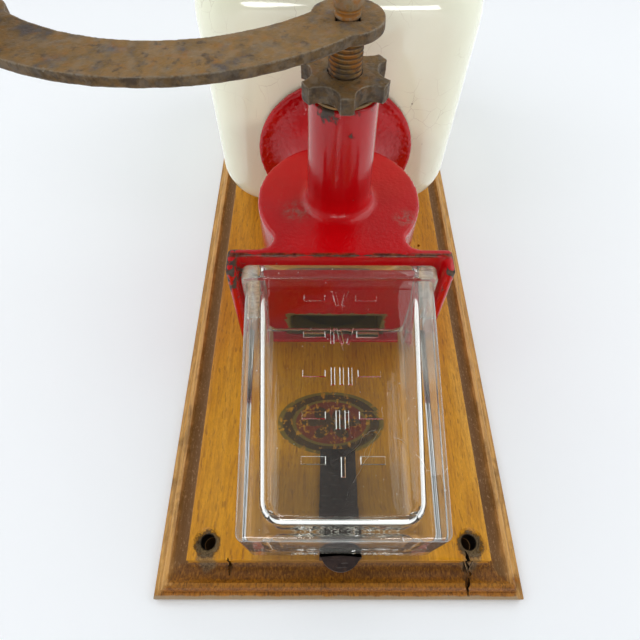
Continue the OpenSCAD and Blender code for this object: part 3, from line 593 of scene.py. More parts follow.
def beech_finish():
    f = Finish("old_beech", Specular_IOR_Level=0.3)
    streak = f.noise(14, detail=5, stretch=(1, 1, 0.07), warp=0.4)
    fine = f.noise(1.2, detail=4, rough=0.65, stretch=(1, 1, 0.08), warp=0.3)
    fleck = f.band(f.noise(0.9, detail=2, stretch=(1, 1, 0.18)), 0.58, 0.68)
    grit = f.noise(0.7, detail=4, rough=0.8, stretch=(1, 1, 0.4))
    side = f.minus(board_high.x * MM, f.math("ABSOLUTE", f.right))
    end = f.minus(board_high.z * MM, f.math("ABSOLUTE", f.up))
    panel, planed = panel_wood(f, streak, fine, fleck, grit)
    on_panel = f.span(f.math("MINIMUM", side, end), MOULDING_W - 0.5, MOULDING_W + 0.1)
    colour = f.mix(on_panel, moulding_wood(f, side, end, fine, grit), panel)
    colour = hole_marks_and_shade(f, colour, grit)
    print_colour, print_mask = rosette(f)
    colour = f.mix(print_mask, colour, print_colour)
    worn_back = f.span(f.back, -0.3, -0.9, 1.0, 0.0)
    f.set("Base Color", f.mix(worn_back, colour, planed))
    front = f.span(f.back, -10.4, -9.8, 1.0, 0.0)
    gloss = f.mix(front, f.band(grit, 0.3, 0.7, 0.6, 0.36), f.band(streak, 0.3, 0.7, 0.3, 0.46))
    f.set("Roughness", gloss)
    pores = f.minus(fine, f.times(fleck, 0.6))
    f.set("Normal", f.bump(f.plus(pores, f.times(grit, 0.8)), 0.14, 0.6))
    return f.material


beech = beech_finish()
print("finish", beech.name, len(beech.node_tree.nodes), "nodes")

# %% [markdown]
# ### Red paint
# The casting was dipped in thick glossy red. The paint wrinkles under the flange, where it ran, lies in
# fine rings round the boss, and has chipped off the hood down to dark iron. Under the star nut the boss
# shows bare iron and a rust run, and the front of the drum has grey scuffs. Chips follow the edges of the
# mesh: pointiness is high there, and noise breaks it up. Coffee dust clings to the walls of the outlet,
# whose soft borders are given as pairs of millimetres.

# %% Wear of the red paint
LIP_OUT, LIP_UP = 73.0, cup_high.z + 0.5
OUTLET_SIDE, OUTLET_FRONT = (22.6, 23.2), (-31.6, -31.0)
OUTLET_FLOOR, OUTLET_ROOF = (-81.9, -81.6), (-56, -54)


def hood_chips(f, hood):
    """Where paint is off the corners and the edges of the hood."""
    ragged = f.noise(3.2, detail=7, rough=0.65)
    left_corner = f.near(casting_low.x, 66, -83, 4, 15)
    right_corner = f.near(casting_high.x, 66, -84, 2, 9)
    corners = f.most(left_corner, f.times(right_corner, 0.3))
    lip = f.times(hood, f.times(f.edges(0.52, 0.56), 0.27))
    return f.band(f.plus(f.plus(f.times(corners, 0.20), lip), ragged), 0.70, 0.74)


def boss_wear(f):
    """Where the end of the boss and the runs below it are bare."""
    boss = f.span(f.back, -(casting_high.y - 0.5), -(casting_high.y - 5), 1.0, 0.0)
    runs = f.most(f.near(-5.5, casting_high.y - 2.5, spindle_up - 10.5, 0.5, 6.0),
                  f.near(2.8, casting_high.y - 9, spindle_up - 12, 0.2, 3.2))
    run = f.noise(2.0, detail=7, rough=0.7, stretch=(1, 0.6, 1))
    return f.band(f.plus(f.math("MULTIPLY_ADD", boss, 0.14, run), f.times(runs, 0.26)), 0.69, 0.79)


def lip_rust_and_shade(f, hood, colour):
    """Painted shade under the lip of the hood and a line of rust along it."""
    crosswise = f.vector("MULTIPLY", {0: f.at, 1: (0, 1, 1)})
    from_lip = f.vector("DISTANCE", {0: crosswise, 1: place(0, LIP_OUT, LIP_UP)}, "Value")
    lip_line = f.times(f.span(from_lip, 0.7, 1.7, 1.0, 0.0),
                       f.band(f.noise(4, detail=6, stretch=(0.4, 1, 1)), 0.40, 0.54))
    level = f.math("ABSOLUTE", f.minus(f.up, LIP_UP * MM))
    # Painted shade: the hood's underside behind the lip is painted dark red.
    painted_shade_under_lip = f.times(f.span(level, 0.5, 1.0, 1.0, 0.0),
                   f.span(f.back, -(LIP_OUT - 0.5), -(LIP_OUT - 8), 0.05, 0.35))
    colour = f.mix(f.times(painted_shade_under_lip, hood), colour, tint(58, 8, 6))
    lip_rust = f.ramp(f.noise(1.6, detail=4), (0.35, tint(70, 22, 12)), (0.65, tint(118, 58, 28)))
    return f.mix(lip_line, colour, lip_rust)


def outlet_dust(f):
    """The walls of the outlet, with torn borders."""
    torn = f.stray(f.noise(3, detail=5), 3)
    within = f.times(f.span(f.plus(f.math("ABSOLUTE", f.right), torn), *OUTLET_SIDE, 1.0, 0.0),
                     f.span(f.plus(f.back, torn), *OUTLET_FRONT))
    return f.times(within, f.times(f.span(f.up, *OUTLET_FLOOR), f.span(f.up, *OUTLET_ROOF, 1.0, 0.0)))


def paint_skin(f):
    """Wrinkles under the flange, dimples all over and fine rings round the boss."""
    throat = f.span(f.up, spindle_up + 20, spindle_up + 34)
    wrinkle = f.times(f.cells(2.2, "SMOOTH_F1"), throat)
    on_boss = f.span(f.back, -(LIP_OUT + 3), -(LIP_OUT + 6), 1.0, 0.15)
    dimple = f.times(f.noise(1.3, detail=3), on_boss)
    ripple = f.times(f.noise(0.7, detail=2, stretch=(0.2, 1, 0.2)), f.minus(1.15, on_boss))
    lumps = f.plus(f.times(dimple, 0.9), f.times(wrinkle, 1.8))
    return f.bump(f.math("MULTIPLY_ADD", ripple, 0.4, lumps), 0.25, 0.8)


print("lip of the hood at", LIP_OUT, "mm from the wall")

# %% Red paint finish


def red_finish():
    f = Finish("red_paint", Coat_Weight=0.2, Coat_Roughness=0.1, Specular_IOR_Level=0.27)
    iron = f.ramp(f.noise(2.5, detail=6), (0.3, tint(44, 34, 28)), (0.55, tint(70, 56, 46)),
                  (0.75, tint(108, 72, 44)))
    paint = f.ramp(f.noise(18, detail=4), (0.3, tint(178, 2, 8)), (0.7, tint(194, 4, 12)))
    # Painted shade: the boss is painted a darker red than the drum face.
    painted_shade_on_boss = f.span(f.back, -(LIP_OUT + 10), -(LIP_OUT + 4), 0.55, 0.0)
    paint = f.mix(painted_shade_on_boss, paint, tint(154, 1, 5))
    hood = f.times(f.span(f.up, spindle_up - 27, spindle_up - 30), f.span(f.back, -16, -19))
    chips, bare, dust = hood_chips(f, hood), boss_wear(f), outlet_dust(f)
    scuff = f.most(f.near(-17, 73, -58, 1.5, 8.0), f.near(26.5, 73, -62, 1.0, 7.0))
    scuffs = f.times(scuff, f.band(f.noise(2.4, detail=6, rough=0.7), 0.40, 0.64))
    colour = f.mix(f.times(scuffs, 0.6), paint, tint(124, 104, 90))
    colour = lip_rust_and_shade(f, hood, colour)
    colour = f.mix(f.most(chips, bare), colour, iron)
    f.set("Base Color", f.mix(dust, colour, tint(100, 80, 34)))
    lost = f.most(chips, bare, f.times(scuffs, 0.5), dust)
    f.set("Roughness", f.band(lost, 0.0, 1.0, 0.15, 0.6))
    f.set("Normal", f.bump(f.minus(1.0, lost), 0.18, 0.9, paint_skin(f)))
    return f.material


red_paint = red_finish()
print("finish", red_paint.name, len(red_paint.node_tree.nodes), "nodes")

# %% [markdown]
# ### Rusty iron
# The crank, the star nut and the spindle are bare iron that has rusted for decades. Brown and orange
# blotches lie over dark grey, edges that hands and spanners touch are worn to a greyer metal, the sides
# of the arm and the nut are darker, partly a kept dark skin and partly painted shade, and all of it is
# pitted.

# %% Rusty iron finish


def rust_finish(name, amber, worn_share, shade=1.0, side_skin_and_shade=0.0, side_skin_and_shade_tint=None):
    """Rust on iron, with shares of fresh orange, of worn grey metal, of light, and of sides kept dark,
    partly as a dark skin and partly as painted shade.
    """
    f = Finish(name, Metallic=0.25)
    broad = f.noise(7, detail=6, rough=0.6)
    small = f.noise(1.6, detail=6, rough=0.7)
    colour = f.ramp(broad, (0.32, tint(92, 82, 76)), (0.43, tint(126, 98, 54)), (0.55, tint(146, 110, 56)),
                    (0.66, tint(130, 104, 68)), (0.74, tint(104, 92, 92)))
    fresh = 0.62 - 0.2 * amber
    colour = f.mix(f.band(f.noise(4.5, detail=5, shift=(1, 2, 3)), fresh, fresh + 0.18, 0.0, amber), colour,
                   tint(162, 102, 22))
    colour = f.mix(f.band(f.noise(3.0, detail=5), 0.56, 0.68, 0.0, 0.75), colour, tint(78, 62, 44))
    grain = f.band(small, 0.35, 0.65, 0.82, 1.12)
    light = f.ramp(grain, (0.0, (0, 0, 0, 1)), (1.0, (shade, shade, shade, 1)))
    colour = f.mix(1.0, colour, light, "MULTIPLY")
    # Painted shade, partly a real dark skin: faces that look along the wall are darkened.
    if side_skin_and_shade:
        blotch = f.noise(2.6, detail=6, rough=0.7, shift=(7, 8, 9))
        uneven = f.band(blotch, 0.36, 0.60, side_skin_and_shade, side_skin_and_shade * 0.55)
        colour = f.mix(f.times(f.sides(0.4, 0.75), uneven), colour, side_skin_and_shade_tint)
    worn = f.times(f.edges(0.505, 0.55), f.band(small, 0.35, 0.6))
    patches = f.times(f.band(f.noise(3.6, detail=6, shift=(4, 5, 6)), 0.45, 0.62), worn_share)
    worn = f.most(f.times(worn, 0.8), patches)
    colour = f.mix(worn, colour, tint(126, 116, 100))
    colour = f.mix(f.edges(0.44, 0.49, 0.75, 0.0), colour, tint(38, 30, 24))
    f.set("Base Color", colour)
    f.set("Roughness", f.mix(worn, f.band(small, 0.3, 0.7, 0.55, 0.85), (0.42, 0.42, 0.42, 1)))
    pits = f.band(f.cells(1.5), 0.05, 0.45)
    f.set("Normal", f.bump(f.plus(small, f.times(pits, 0.5)), 0.22, 0.8))
    return f.material


rusty_iron = rust_finish("brown_rust", 0.8, 0.25)
amber_rust = rust_finish("amber_rust", 0.95, 0.1)
arm_rust = rust_finish("arm_rust", 0.45, 0.25, shade=0.86, side_skin_and_shade=0.9, side_skin_and_shade_tint=tint(50, 34, 15))
worn_iron = rust_finish("worn_iron", 0.55, 0.25, shade=0.7, side_skin_and_shade=0.85, side_skin_and_shade_tint=tint(44, 38, 34))
print("finishes", rusty_iron.name, amber_rust.name, arm_rust.name, worn_iron.name)

# %% [markdown]
# ### Glaze and glass
# The jar is cream earthenware. Its glaze is glossy, has a fine net of crazing that tea coloured dirt
# has drawn in, and a few pin holes. The cup is thick pressed glass, faintly green, with the slow waves
# of a pressing mould and small scratches. Its upper sides are milky with age, and so is the broken part
# of its bottom edge. For the rays that look for a lamp it is plainly clear, so the board under it is lit.

# %% Glaze finish


def glaze_finish():
    f = Finish("crazed_glaze", Roughness=0.09, Specular_IOR_Level=0.55, Coat_Weight=0.4, Coat_Roughness=0.04)
    colour = f.ramp(f.noise(45, detail=4), (0.3, tint(243, 245, 216)), (0.7, tint(249, 251, 227)))
    crack = f.band(f.cells(7.5, "DISTANCE_TO_EDGE", vector=f.warped(8, 4)), 0.004, 0.014, 1.0, 0.0)
    patch = f.band(f.noise(28, detail=3), 0.46, 0.62)
    colour = f.mix(f.times(f.times(crack, patch), 0.3), colour, tint(150, 128, 92))
    dot = f.times(f.band(f.cells(9), 0.035, 0.055, 1.0, 0.0), f.band(f.noise(30), 0.5, 0.6))
    colour = f.mix(f.times(dot, 0.7), colour, tint(120, 96, 66))
    f.set("Base Color", colour)
    f.set("Normal", f.bump(f.noise(14, detail=2), 0.25, 0.35))
    return f.material


cream_glaze = glaze_finish()
print("finish", cream_glaze.name)

# %% Glass finish
CUP_TOP_W, CUP_BOTTOM_W, CUP_TOP_D, CUP_BOTTOM_D = 72.4, 67.2, 52.4, 39.4
CUP_WALL, CUP_FLOOR, CUP_RIM_H, CUP_DRAFT = 5.0, 5.5, 6.3, 2.0
BROKEN_AT, BROKEN_HALF, BROKEN_DEEP = 2.0, 20.0, 27.0


def cup_cloud(f):
    """How milky the glass is: its upper sides and rim most, its bottom, and where the edge is broken."""
    inner_top = CUP_TOP_W / 2 - CUP_WALL
    inner_foot = CUP_BOTTOM_W / 2 - CUP_WALL - CUP_DRAFT
    fallen = f.math("DIVIDE", f.minus(cup_high.z * MM, f.up), (cup_high.z - cup_low.z) * MM)
    wall_at = f.math("MULTIPLY_ADD", fallen, (inner_foot - inner_top) * MM, inner_top * MM)
    wall = f.span(f.minus(f.math("ABSOLUTE", f.right), wall_at), -0.2, 0.8)
    streak = f.band(f.noise(2.4, detail=3, stretch=(1, 1, 0.07)), 0.35, 0.65, 0.4, 1.0)
    upper = f.band(f.plus(fallen, f.times(f.noise(6), 0.1)), 0.28, 0.44, 0.28, 0.02)
    sides = f.times(wall, f.times(streak, upper))
    rim = f.span(f.up, cup_high.z - CUP_RIM_H - 0.4, cup_high.z - CUP_RIM_H + 0.4, 0.0, 0.015)
    foot = f.span(f.up, cup_low.z + 0.3, cup_low.z + 1.6, 0.08, 0.0)
    crushed = f.band(f.noise(1.2, detail=5, rough=0.7), 0.48, 0.58, 0.0, 0.45)
    from_middle = f.math("ABSOLUTE", f.minus(f.right, BROKEN_AT * MM))
    broken = f.times(f.span(from_middle, BROKEN_HALF - 1, BROKEN_HALF + 1, 1.0, 0.0),
                     f.times(f.span(f.back, -BROKEN_DEEP, -(BROKEN_DEEP - 2)),
                             f.span(f.up, cup_low.z + 1.6, cup_low.z + 2.6, 1.0, 0.0)))
    edge = f.times(broken, crushed)
    return f.most(sides, rim, foot, edge)


def glass_finish():
    f = Finish("pressed_glass", IOR=1.5)
    wave = f.noise(22, detail=1)
    hair = f.band(f.cells(19, "DISTANCE_TO_EDGE", vector=f.warped(16, 9)), 0.0015, 0.005, 1.0, 0.0)
    lower_right = f.near(18, 55, -148, 16, 34)
    scratch = f.times(hair, f.times(lower_right, f.band(f.noise(10, detail=3), 0.5, 0.56)))
    speck = f.times(f.band(f.cells(6), 0.03, 0.05, 1.0, 0.0), f.band(f.noise(26), 0.42, 0.5))
    cloud = cup_cloud(f)
    f.set("Base Color", f.mix(cloud, (0.955, 0.97, 0.945, 1), tint(198, 192, 152)))
    f.set("Transmission Weight", f.minus(1.0, cloud))
    marks = f.times(f.most(scratch, speck), 0.4)
    f.set("Roughness", f.most(marks, f.band(cloud, 0.05, 0.5, 0.0, 0.4)))
    f.set("Normal", f.bump(wave, 0.2, 0.1))
    f.pass_rays(f.add("ShaderNodeLightPath").outputs["Is Shadow Ray"], (0.83, 0.84, 0.82, 1))
    return f.material


clear_glass = glass_finish()
print("finish", clear_glass.name)

# %% [markdown]
# ### Small finishes
# The strap is blackened spring steel, scratched bright in places. Felt is matt and fibrous. The knob is
# turned hardwood with a dark stain and a worn crown. Screws and inner steel are plain and dull.

# %% Strap, felt, knob wood and plain steel


def black_steel_finish():
    f = Finish("blued_strap", Metallic=0.5)
    small = f.noise(2.0, detail=6, rough=0.7)
    colour = f.ramp(small, (0.35, tint(36, 26, 25)), (0.6, tint(58, 43, 40)), (0.78, tint(92, 66, 50)))
    lines = f.band(f.noise(0.7, detail=2, stretch=(0.12, 1, 1)), 0.62, 0.7)
    f.set("Base Color", f.mix(f.times(lines, 0.3), colour, tint(120, 116, 112)))
    f.set("Roughness", f.band(small, 0.3, 0.7, 0.36, 0.62))
    f.set("Normal", f.bump(small, 0.06, 0.6))
    return f.material


def felt_finish():
    f = Finish("grey_felt", Roughness=0.95, Sheen_Weight=0.4)
    fuzz = f.noise(0.5, detail=6, rough=0.75)
    f.set("Base Color", f.ramp(fuzz, (0.3, tint(66, 58, 50)), (0.7, tint(116, 104, 92))))
    f.set("Normal", f.bump(fuzz, 0.3, 0.9))
    return f.material


def knob_wood_finish():
    f = Finish("turned_wood", Roughness=0.35, Coat_Weight=0.25, Coat_Roughness=0.2)
    rings = f.noise(4, detail=5, stretch=(1, 0.14, 1), warp=0.6)
    colour = f.ramp(rings, (0.3, tint(70, 36, 16)), (0.55, tint(112, 62, 28)), (0.75, tint(140, 84, 40)))
    crown = f.span(f.back, -(knob_high.y - 3), -(knob_high.y - 14), 0.5, 0.0)
    f.set("Base Color", f.mix(f.times(crown, f.band(rings, 0.35, 0.6)), colour, tint(168, 112, 62)))
    f.set("Normal", f.bump(rings, 0.1, 0.5))
    return f.material


def steel_finish(name, dark, pale, rough):
    f = Finish(name, Metallic=0.9)
    small = f.noise(1.2, detail=5, rough=0.65)
    f.set("Base Color", f.ramp(small, (0.3, dark), (0.7, pale)))
    f.set("Roughness", f.band(small, 0.3, 0.7, rough - 0.1, rough + 0.15))
    f.set("Normal", f.bump(small, 0.05, 0.5))
    return f.material


black_steel = black_steel_finish()
felt = felt_finish()
knob_wood = knob_wood_finish()
bare_steel = steel_finish("screw_steel", tint(96, 92, 86), tint(140, 136, 130), 0.4)
burr_steel = steel_finish("hard_steel", tint(70, 68, 66), tint(112, 108, 104), 0.5)
spring_steel = steel_finish("wire_steel", tint(84, 84, 86), tint(132, 132, 134), 0.32)
print("small finishes ready")

# %% [markdown]
# ## The board
# A joiner runs the moulding round the plank with a plane. Here a cube gets the same profile by walking
# inwards: each step is an inset of the front face with some depth, so the four corners mitre by
# themselves. The ledge is flat, the bead is a quarter round, the cove is a hollow arc, and a last small
# step takes the sharpness off the panel's edge. Holes are cut afterwards.

# %% Board with its moulding
EDGE_T, EDGE_WORN, LEDGE_W, BEAD_R = 3.0, 0.35, 2.4, 2.8
COVE_R, COVE_UNDER, PANEL_WORN = 4.6, 1.0, 0.35
panel_out = board_high.y


def moulding_profile():
    """Points of (distance in from the edge, height), from the ledge to the panel."""
    bead = arc((LEDGE_W + BEAD_R, EDGE_T), BEAD_R, 180, 90, 10)
    cove_at = (MOULDING_W - COVE_R + COVE_UNDER, EDGE_T + 2 * BEAD_R)
    start = 180 + math.degrees(math.asin(BEAD_R / COVE_R))
    finish = 360 - math.degrees(math.acos((COVE_R - COVE_UNDER) / COVE_R))
    cove = arc(cove_at, COVE_R, start, finish, 12)
    worn = arc((MOULDING_W + PANEL_WORN, panel_out - PANEL_WORN), PANEL_WORN, 180, 90, 3)
    return [(LEDGE_W - 0.3, EDGE_T)] + bead + cove[1:] + worn


board = box((board_low.x, 0, board_low.z), (board_high.x, EDGE_T, board_high.z))
edit(board)
choose("edges", lambda e: middle(e).y > EDGE_T / 2 or runs_along(e, 1))
bevel(EDGE_WORN, 2)
choose("faces", lambda face: face.normal.y < -0.999)
walked, height = EDGE_WORN, EDGE_T
for inward, out in moulding_profile():
    inset(max(inward - walked, 0.002), out - height)
    walked, height = inward, out
close()
print("board profile has", len(moulding_profile()), "steps")

# %% [markdown]
# The wall screws sit in countersunk holes. Over the years the wood split from the right hole down to the
# edge, and a nail left a slot beside the left one. A split is cut by a thin box: its long edges are divided,
# their vertices are pushed about by a fixed sine pattern, and it is taken away from the board. Two
# splinters still stand in the long split.

# %% Holes and splits in the board
CASTING_SCREWS = [(sx * 25.55, spindle_up + sz * 14.75) for sx in (-1, 1) for sz in (-1, 1)]
SINK_PROFILE = [(0, -1), (2.75, -1), (2.75, 8.6), (5.2, 11.05), (5.2, 12), (0, 12)]
NAIL_HOLES = [(-39.6, -92), (46.9, -22)]
HEAD_HOLE_R, NAIL_R = 4.1, 0.8
SPLINTERS = [((47.0, 10.2, -176.3), (49.6, 6.2, -182.5), 0.55),
             ((51.2, 10.0, -177.0), (48.8, 7.0, -181.2), 0.4)]


def ragged_strip(right, up, width, length, out_low, out_high, wander):
    """A closed strip with uneven sides, to cut a split with. Its length runs up the board."""
    strip = box((right - width / 2, out_low, up - length / 2),
                (right + width / 2, out_high, up + length / 2))
    edit(strip)
    choose("edges", lambda e: runs_along(e, 2))
    bpy.ops.mesh.subdivide(number_cuts=11)
    close()
    for vertex in strip.data.vertices:
        share = (vertex.co.z / MM - up) / length
        side = 1 if vertex.co.x / MM > right else -1
        taper = 0.25 + 0.75 * math.cos(share * math.pi) ** 2
        sway = math.sin(share * 9 + 1) * wander
        ragged = 1 + 0.5 * math.sin(share * 31 + 2 * side)
        vertex.co.x = (right + side * width / 2 * taper * ragged + sway) * MM
    return strip


cutters = [turned(SINK_PROFILE, (right, 0, up), steps=40) for right, up in WALL_HOLES]
cutters += [rod(HEAD_HOLE_R, (right, -1, up), (right, 3, up)) for right, up in CASTING_SCREWS]
cutters.append(ragged_strip(*SPLIT_AT, width=2.8, length=15, out_low=2.6, out_high=12, wander=0.5))
cutters.append(ragged_strip(*SLOT_AT, width=1.8, length=5.4, out_low=3, out_high=12, wander=0.1))
cutters += [rod(NAIL_R, (right, 8, up), (right, 12, up), sides=12) for right, up in NAIL_HOLES]
for cutter in cutters:
    combine(board, cutter, "DIFFERENCE")
for start, end, thick in SPLINTERS:
    combine(board, rod(thick, start, end, sides=6, end_radius=thick / 3), "UNION")
hand_over(board, "beech_board", "board", beech, "beech", "backboard")

# %% [markdown]
# ## The red casting
# Sand casting leaves no sharp edge, and the paint rounds what is left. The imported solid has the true
# form, so a copy of it is remeshed into small even cells and smoothed: every edge and every inside
# corner turns into a soft fillet. A faint cloud pushes the skin in and out, as on rough iron. Only the
# boss was turned, so its skin is drawn onto a true round again.

# %% Casting and back plate
BOSS_R, BOSS_TAPER, BOSS_FILLET = 12.75, 0.0195, 3.5
casting = cast(copy_of("grinder_housing"), voxel=0.9, passes=6, grain=0.12, lump=5)


def turn_smooth(piece):
    """Draw the skin of the boss onto a true, slightly tapered round, as if it had been turned."""
    axis = Vector((0, 0, spindle_up * MM))
    for vertex in piece.data.vertices:
        height = -vertex.co.y / MM - LIP_OUT
        spoke = Vector((vertex.co.x, 0, vertex.co.z)) - axis
        radius = BOSS_R - BOSS_TAPER * height
        if height > BOSS_FILLET and abs(spoke.length / MM - radius) < 0.6:
            vertex.co += spoke.normalized() * radius * MM - spoke


turn_smooth(casting)
hand_over(casting, "red_casting", "board", red_paint, "red_enamel", "grinder_housing", smooth=80)

plate = copy_of("back_plate")
edit(plate)
bpy.ops.mesh.dissolve_limited(angle_limit=math.radians(2))
choose("edges", lambda e: e.calc_face_angle(0) > 1.2 and middle(e).y > 12)
bevel(0.5, 3)
hand_over(plate, "red_back_plate", "board", red_paint, "red_enamel", "back_plate")

# %% [markdown]
# ## Star nut, washer and spindle
# The star nut was stamped and filed, and its points are worn round: a remeshed copy again, with finer
# cells. The spindle shows a coarse thread between the nut and the crank. One turn of a thread is a small
# ridge; the Screw modifier winds it up the spindle, and the ends are filled.

# %% Star nut and washer
star = cast(copy_of("adjusting_nut"), voxel=0.3, passes=3, grain=0.3, lump=2.0)
hand_over(star, "star_nut", "star_nut", worn_iron, "rusty_iron", "adjusting_nut", smooth=80)
washer = cast(copy_of("adjusting_washer"), voxel=0.2, passes=2)
hand_over(washer, "boss_washer", "washer", rusty_iron, "rusty_iron", "adjusting_washer", smooth=80)

# %% Spindle with its thread
THREAD_PITCH, THREAD_DEPTH, SPINDLE_R, SPINDLE_END_R, DRIVE_R = 1.5, 0.75, 5.4, 4.6, 3.3
spindle_low, spindle_high = extent("spindle")


def threaded_rod(low, high):
    """A rod with a helical ridge from one place to another out from the wall."""
    turns = math.ceil((high - low) / THREAD_PITCH)
    root = SPINDLE_R - THREAD_DEPTH
    ridge = ((root, 0), (root, 0.1), (SPINDLE_R, 0.4), (SPINDLE_R, 0.6), (root, 0.9), (root, 1.0))
    drawn_line([place(radius, share * THREAD_PITCH, 0) for radius, share in ridge])
    rod_piece = close()
    modify(rod_piece, "SCREW", axis="Y", steps=40, render_steps=40, screw_offset=-THREAD_PITCH * MM,
           iterations=turns, use_merge_vertices=True, merge_threshold=0.01 * MM, use_normal_calculate=True)
    edit(rod_piece)
    seal()
    bpy.ops.transform.translate(value=place(0, low, spindle_up))
    return close()


thread = threaded_rod(star_low.y + 0.4, arm_low.y + 0.6)
on_axis = (0, 0, spindle_up)
shank = turned([(0, spindle_low.y), (SPINDLE_END_R, spindle_low.y), (SPINDLE_R, spindle_low.y + 0.8),
                (SPINDLE_R, star_low.y), (SPINDLE_END_R, star_low.y + 0.6), (0, star_low.y + 0.6)], on_axis)
drive = turned([(0, arm_low.y), (DRIVE_R, arm_low.y), (DRIVE_R, spindle_high.y), (0, spindle_high.y)],
               on_axis)
spindle = join([thread, shank, drive])
hand_over(spindle, "threaded_spindle", "crank", amber_rust, "rusty_iron", "spindle", smooth=30)

# %% [markdown]
# ## The crank
# The arm was forged from flat bar: its edges are rolled and its faces are not quite flat. The nut that
# holds it is a small round barrel with a grooved neck. The wooden knob is turned with a foot, a neck and
# a full round top, and a riveted pin lets it spin.

# %% Crank arm and its nut
NUT_BORE, NUT_DEEP = 3.35, 9.0
arm = cast(copy_of("crank_arm"), voxel=0.4, passes=1, grain=0.3, lump=4)
hand_over(arm, "crank_bar", "crank", arm_rust, "rusty_iron", "crank_arm", smooth=80)

nut_low = extent("crank_nut")[0]
barrel = [(NUT_BORE, 0), (3.8, 0), (3.9, 0.7), (3.55, 1.1), (3.55, 1.6), (4.0, 1.9), (3.9, 2.4), (4.3, 2.8),
          (4.4, 3.4), (4.4, 9.2), (4.15, 9.9), (3.3, 10.8), (1.6, 11.5), (0, 11.65)]
bore_end = (NUT_BORE, NUT_DEEP)
nut = turned([bore_end] + barrel + [(0, NUT_DEEP), bore_end], (0, nut_low.y, spindle_up), steps=40)
hand_over(nut, "crank_barrel_nut", "crank", amber_rust, "rusty_iron", "crank_nut", smooth=50)

# %% Knob, pin and washer
KNOB_R, KNOB_WIDE_AT, KNOB_BORE, DOME_R = 14.5, 25.0, 3.25, 6.4
knob_tall = knob_high.y - knob_low.y
crown_start = math.degrees(math.asin((knob_tall - KNOB_WIDE_AT) / KNOB_R))
ball = arc((0, KNOB_WIDE_AT), KNOB_R, -48, crown_start, 18)
neck = [(KNOB_BORE, 0), (7.7, 0), (8.2, 0.5), (8.2, 1.4), (7.6, 2.0), (7.0, 3.2), (6.65, 5.0),
        (6.65, 7.0), (7.2, 9.5), (8.4, 12.4)]
crown = [(KNOB_BORE + 1.6, knob_tall), (KNOB_BORE, knob_tall - 0.4)]
knob = turned(neck + ball + crown + neck[:1], (knob_right, knob_low.y, spindle_up), steps=56)
hand_over(knob, "turned_knob", "knob", knob_wood, "stained_wood", "knob", smooth=50)

pin_low, pin_high = extent("knob_pin")
head_foot = knob_high.y + 0.3
shaft = [(0, pin_low.y), (4.6, pin_low.y), (5.0, pin_low.y + 0.3), (5.0, pin_low.y + 1.2),
         (3.2, pin_low.y + 1.2), (3.2, head_foot), (4.8, head_foot), (5.0, head_foot + 0.3)]
dome = arc((0, pin_high.y - DOME_R), DOME_R, 52, 90, 6)
dome = [(radius * 4.9 / dome[0][0], out) for radius, out in dome]
pin = turned(shaft + dome, (knob_right, 0, spindle_up), steps=40)
hand_over(pin, "knob_rivet", "crank", rusty_iron, "rusty_iron", "knob_pin", smooth=40)
collar = cast(copy_of("knob_washer"), voxel=0.2, passes=2)
hand_over(collar, "knob_collar", "crank", rusty_iron, "rusty_iron", "knob_washer", smooth=80)

# %% [markdown]
# ## The bean jar
# The jar was cast in a mould as a box with round upright corners and a rounder bottom edge. A cube gets
# its upright edges bevelled first, then the loop of edges round its bottom. A second, smaller one cuts
# the inside out of it, and the rim is rounded last.

# %% Jar
JAR_WALL, JAR_CORNER, JAR_FOOT, FUNNEL_R, THROAT_OUT = 6.0, 24.0, 18.0, 23.0, 55.0
JAR_SCREWS, JAR_SCREW_HOLE_R, JAR_RIM_R = (-25, 25), 1.85, 2.2


def rounded_tub(low, high, corner, foot, segments=14):
    """A box with round upright corners and a round bottom edge, in millimetres."""
    edit(box(low, high))
    choose("edges", lambda e: runs_along(e, 2))
    bevel(corner, segments)
    choose("edges", lambda e: abs(middle(e).z - low[2]) < 0.01)
    bevel(foot, segments, clamp_overlap=False)
    return close()


jar = rounded_tub(jar_low, jar_high, JAR_CORNER, JAR_FOOT)
wall = Vector((JAR_WALL, JAR_WALL, 0))
hollow = rounded_tub(jar_low + wall + Vector((0, 0, JAR_WALL)), jar_high - wall + Vector((0, 0, 5)),
                     JAR_CORNER - JAR_WALL, JAR_FOOT - JAR_WALL)
combine(jar, hollow, "DIFFERENCE")
throat = rod(FUNNEL_R, (0, THROAT_OUT, jar_low.z - 5), (0, THROAT_OUT, jar_low.z + 12), sides=64)
combine(jar, throat, "DIFFERENCE")
jar_screw_low, jar_screw_high = extent("reservoir_screws")
jar_screw_up = (jar_screw_low.z + jar_screw_high.z) / 2
for side in JAR_SCREWS:
    hole = rod(JAR_SCREW_HOLE_R, (side, 8, jar_screw_up), (side, 20, jar_screw_up), sides=24)
    combine(jar, hole, "DIFFERENCE")
edit(jar)
choose("edges", lambda e: abs(middle(e).z - jar_high.z) < 0.01 and e.calc_face_angle(0) > 1)
bevel(JAR_RIM_R, 4)
hand_over(jar, "bean_jar", "board", cream_glaze, "cream_glaze", "reservoir", smooth=35)

# %% [markdown]
# The lid is a plate with a raised field on top, a ring below that drops into the jar, and a round knob.
# The field and the ring come from insets of the plate's two faces.

